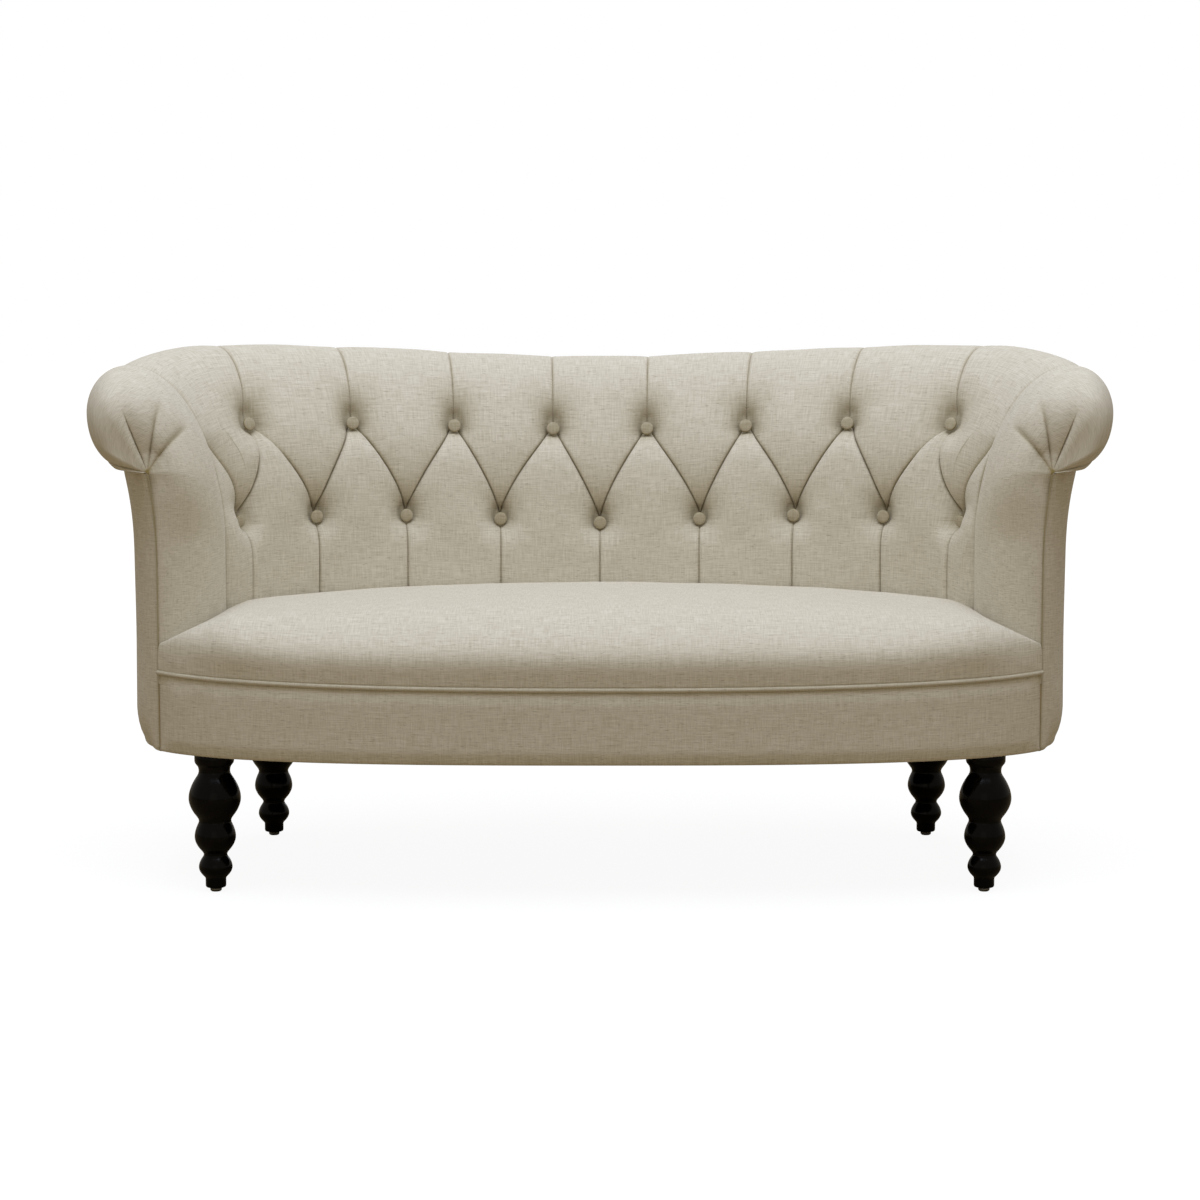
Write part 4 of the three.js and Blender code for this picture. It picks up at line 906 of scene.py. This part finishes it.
def arm_front(name, side):
    """One arm front, in rings round the section that turn from the inside of the arm to its front
    edge, closed inside along the frame."""
    bluff = mix(2.0, 3.2, ease((section_height - arm_straight) / (gather - arm_straight)))
    bluff[section_turn > 0.6] = 3.2
    near_seam = np.array([0, 0.0025, 0.006, 0.011, 0.018, 0.028, 0.042])
    turned_by = np.concatenate([near_seam, np.linspace(0.06, 0.985, 64) ** 0.85, [0.992, 0.997, 1]])
    held = np.minimum(section_height, gather)
    x0, y0, nx, ny = arm_frame(side, corner_y)
    inset = panel_offset(held, arm_top) - edge_gap
    edge_x, edge_y = x0 + nx * inset, y0 + ny * inset
    inset = panel_offset(gather, arm_top) - edge_gap
    gather_point = np.array([x0 + nx * inset, y0 + ny * inset, gather])
    core = np.array([side * 0.675, arm_line + 0.02, 0.64])
    along, rise = np.gradient(section_across), np.gradient(section_height)
    length = np.hypot(along, rise)
    seam_x, seam_z = side * rise / length, -along / length
    heights = np.append(np.linspace(gather - 0.0003, gather - flare_height, 5), pad_bottom)
    out = panel_offset(heights, arm_top) - panel_thickness
    rings, cloths, painted_shades = [], [], []
    for share in turned_by:
        angle = share * math.pi / 2
        left = max(0.0, math.cos(angle)) ** (2 / bluff)
        forward = math.sin(angle) ** (2 / bluff)
        domed = 0.026 * math.sin(math.pi * share ** 1.4) * ease((section_turn - 0.43) / 1.9)
        domed = domed * (1 - 0.6 * ease((section_turn - math.radians(200)) / math.radians(45)))
        points = np.column_stack([mix(edge_x, side * (inner_half + section_across), left),
                                  mix(arm_line - 0.0001, edge_y, forward) - domed,
                                  mix(held, section_height, left)])
        from_gather = np.linalg.norm(points - gather_point, axis=1)
        drawn, painted_shade = pleated(from_gather)
        notch = np.abs(section_turn - math.radians(203)) * 0.07
        drawn += 0.006 * np.exp(-notch / 0.003) * math.exp(-angle / 0.12)
        drawn[section_turn < 0], painted_shade[section_turn < 0] = 0, 0
        run = angle * 0.175
        lumps = unevenness(run, section_height, 3 + side) * ease(from_gather / 0.06)
        inwards = core - points
        inwards /= np.linalg.norm(inwards, axis=1)[:, None]
        points = points + inwards * (drawn + lumps * math.sin(angle * 2))[:, None]
        # Painted shade along the seam to the inside of the arm and along the front edge.
        groove, painted_crease_shade = seam_groove(run)
        points[:, 0] += seam_x * groove
        points[:, 2] += seam_z * groove
        painted_crease_shade = max(painted_crease_shade, 0.7 * math.exp(-(math.pi / 2 - angle) * 0.11 / 0.0016))
        fx, fy, fnx, fny = arm_frame(side, mix(arm_line, corner_y, math.sin(angle)))
        inner = np.column_stack([fx + fnx * out, fy + fny * out, heights])
        rings.append(np.vstack([points, inner]))
        cloths.append(np.column_stack([np.full(len(rings[-1]), run), way_along(rings[-1])]))
        painted_shades.append(np.concatenate([np.maximum(painted_shade, painted_crease_shade), np.zeros(len(inner))]))
    return tidy_mesh(lofted(name, rings, cloths, painted_shades), angle=75)


for name, side in (("arm_front_left", -1), ("arm_front_right", 1)):
    upholster(arm_front(name + "_gathered", side), 0.9, name)


# Outside back and arms. Linen over a thin wadding, blind-stitched under the scroll, down the corner
# seams and round the front edges, and turned under the rails.
under_depth, under_height, under_power = 0.019, 0.056, 1.8


def outline_frames(shares):
    """Places on the rear outline, the way square to it, and the wall's top and lean there."""
    x, y, dx, dy, wall, top, lean = station(shares)
    x, y = x + dx * wall, y + dy * wall
    nx, ny = square_to(x, y, body_half, rear_depth, rear_power)
    return np.column_stack([x, y, nx, ny, top, lean])


def arm_frames(side, ys):
    """The same beside an arm front, where the wall is level and doesn't lean."""
    x, y, nx, ny = arm_frame(side, ys)
    return np.column_stack([x, y, nx, ny, np.full_like(ys, arm_top), np.zeros_like(ys)])


def under_tuck(heights, edge):
    """How far a side turns in towards its bottom edge, less and less near its upright seams."""
    low = np.clip(1 - (heights - body_bottom) / under_height, 0, 1)
    return under_depth * ease(edge / 0.05) * (1 - (1 - low ** under_power) ** (1 / under_power))


def panel(name, frames, fronted):
    """One outside panel along its frames: an arm's, from its front edge, or the back's."""
    rings, cloths, painted_shades = [], [], []
    run = way_along(frames[:, :2])
    for (x, y, nx, ny, top, lean), along in zip(frames, run):
        ahead = math.hypot(x - frames[0, 0], y - frames[0, 1]) if fronted else 1.0
        highest = top - scroll_height - 0.002 + (scroll_padding + 0.001) * ease(ahead / 0.04)
        heights = mix(body_bottom, highest, np.linspace(0.02, 1, 40))
        capped = np.minimum(heights, top - scroll_height)
        risen = np.maximum(0, heights - seat_level) / (top - seat_level)
        edge = min(along, run[-1] - along)
        tucked = under_tuck(heights, edge) if fronted else np.zeros_like(heights)
        out = panel_offset(capped, top) + lean * risen - end_tuck * math.exp(-edge / end_reach)
        out = out - tucked + 0.4 * unevenness(along, heights, 5) * ease(edge / 0.04)
        outer = np.column_stack([out, heights])
        under = turned_under(np.array([-0.007, -0.0045, -0.0025, -0.0012]) - tucked[0])
        line = np.vstack([under, outer, outer[::-8] - [panel_thickness, 0]])
        rings.append(np.column_stack([x + nx * line[:, 0], y + ny * line[:, 0], line[:, 1]]))
        cloths.append(np.column_stack([np.full(len(line), along), way_along(line)]))
        # Painted shade along the upright seams at both ends of the panel.
        painted_shades.append(np.full(len(line), 0.7 * math.exp(-edge / 0.0016)))
    return tidy_mesh(lofted(name, rings, cloths, painted_shades))


seam = corner_share - 0.0004


def close_steps(count):
    """Shares from 0 to 1 that lie closer together at both ends."""
    return (1 - np.cos(np.linspace(0, math.pi, count))) / 2


panels = {"outside_back": outline_frames(mix(-seam, seam, close_steps(181)))}
for word, side in (("left", -1), ("right", 1)):
    ys = mix(corner_y, arm_line, close_steps(40))
    rear = side * mix(1.0, seam + 0.0008, close_steps(60)[1:])
    panels["outside_arm_" + word] = np.vstack([arm_frames(side, ys), outline_frames(rear)])
for name, frames in panels.items():
    piece = panel(name + "_linen", frames, fronted=name != "outside_back")
    upholster(piece, 0.9, name)


# Side rails. Sawn beech like the rest of the frame, rounded off below where the sides turn in. They
# are made here because they follow the panels' line.
rail_face, rail_back = -0.0038, -0.0252
rail_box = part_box("side_rail_left")
heights = np.linspace(rail_box[0].z, rail_box[1].z, 26)
for word in ("left", "right"):
    frames = panels["outside_arm_" + word]
    run = way_along(frames[:, :2])
    rings = []
    for (x, y, nx, ny), along in list(zip(frames[:, :4], run))[3:-3:2]:
        outer = rail_face - under_tuck(heights, min(along, run[-1] - along))
        line = np.vstack([np.column_stack([outer, heights]),
                          [[rail_back, heights[-1]], [rail_back, heights[0]]]])
        rings.append(np.column_stack([x + nx * line[:, 0], y + ny * line[:, 0], line[:, 1]]))
    rail = lofted(f"side_rail_{word}_rounded", rings, np.array(rings)[..., :2])
    tidy_mesh(rail, angle=40)
    rail.data.materials.append(beech)
    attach(rail, "root")
    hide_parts("side_rail_" + word)


# Buttons. Flat steel moulds covered in the same linen, their twine drawn through the padding, so
# that each sits at the bottom of its own funnel.
button_profile = [(0.0035, 0.0), (0.0084, 0.0002), (0.0100, 0.0010), (0.0104, 0.0020),
                  (0.0103, 0.0030), (0.0098, 0.0038), (0.0087, 0.0044), (0.0066, 0.0048),
                  (0.0036, 0.0050), (0.0004, 0.0051)]


def covered_button(name, step, row):
    """One button, sunk in its funnel and turned square to the cloth there."""
    made = turned(name, button_profile, (0, 0, 0), 32, angle=60)
    mesh = made.data
    layer = mesh.uv_layers.new(name="cloth")
    for loop in mesh.loops:
        spot = mesh.vertices[loop.vertex_index].co
        layer.data[loop.index].uv = (spot.x + 0.13 * step, spot.y + 0.29 * row)
    # Painted shade: halfway on the button's face and full on its sides, down in its funnel.
    painted_shade = mesh.attributes.new("painted_shade", "FLOAT", "POINT")
    for vertex in mesh.vertices:
        painted_shade.data[vertex.index].value = 0.5 if vertex.co.z > 0.0038 else 1.0
    share = np.array([step_share(step)])
    at = np.array([np.interp(row_run(row) - button_drop[row], row_run(rows), rows)])
    face, deep = wall_point(share, at, 0.0)[0], wall_point(share, at, 0.01, 0.012)[0]
    outward = Vector(face - deep).normalized()
    turn = outward.to_track_quat("Z", "Y").to_matrix().to_4x4()
    turn.translation = Vector(wall_point(share, at, 0.0, button_seats[row])[0])
    mesh.transform(turn)
    return made


for row, word in ((1, "lower"), (2, "upper")):
    for i, step in enumerate(button_steps[row]):
        button = covered_button(f"covered_button_{word}_{i + 1}", step, row)
        button.data.materials.append(oatmeal)
        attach(button, "root")
        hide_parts(f"button_{word}_{i + 1}")
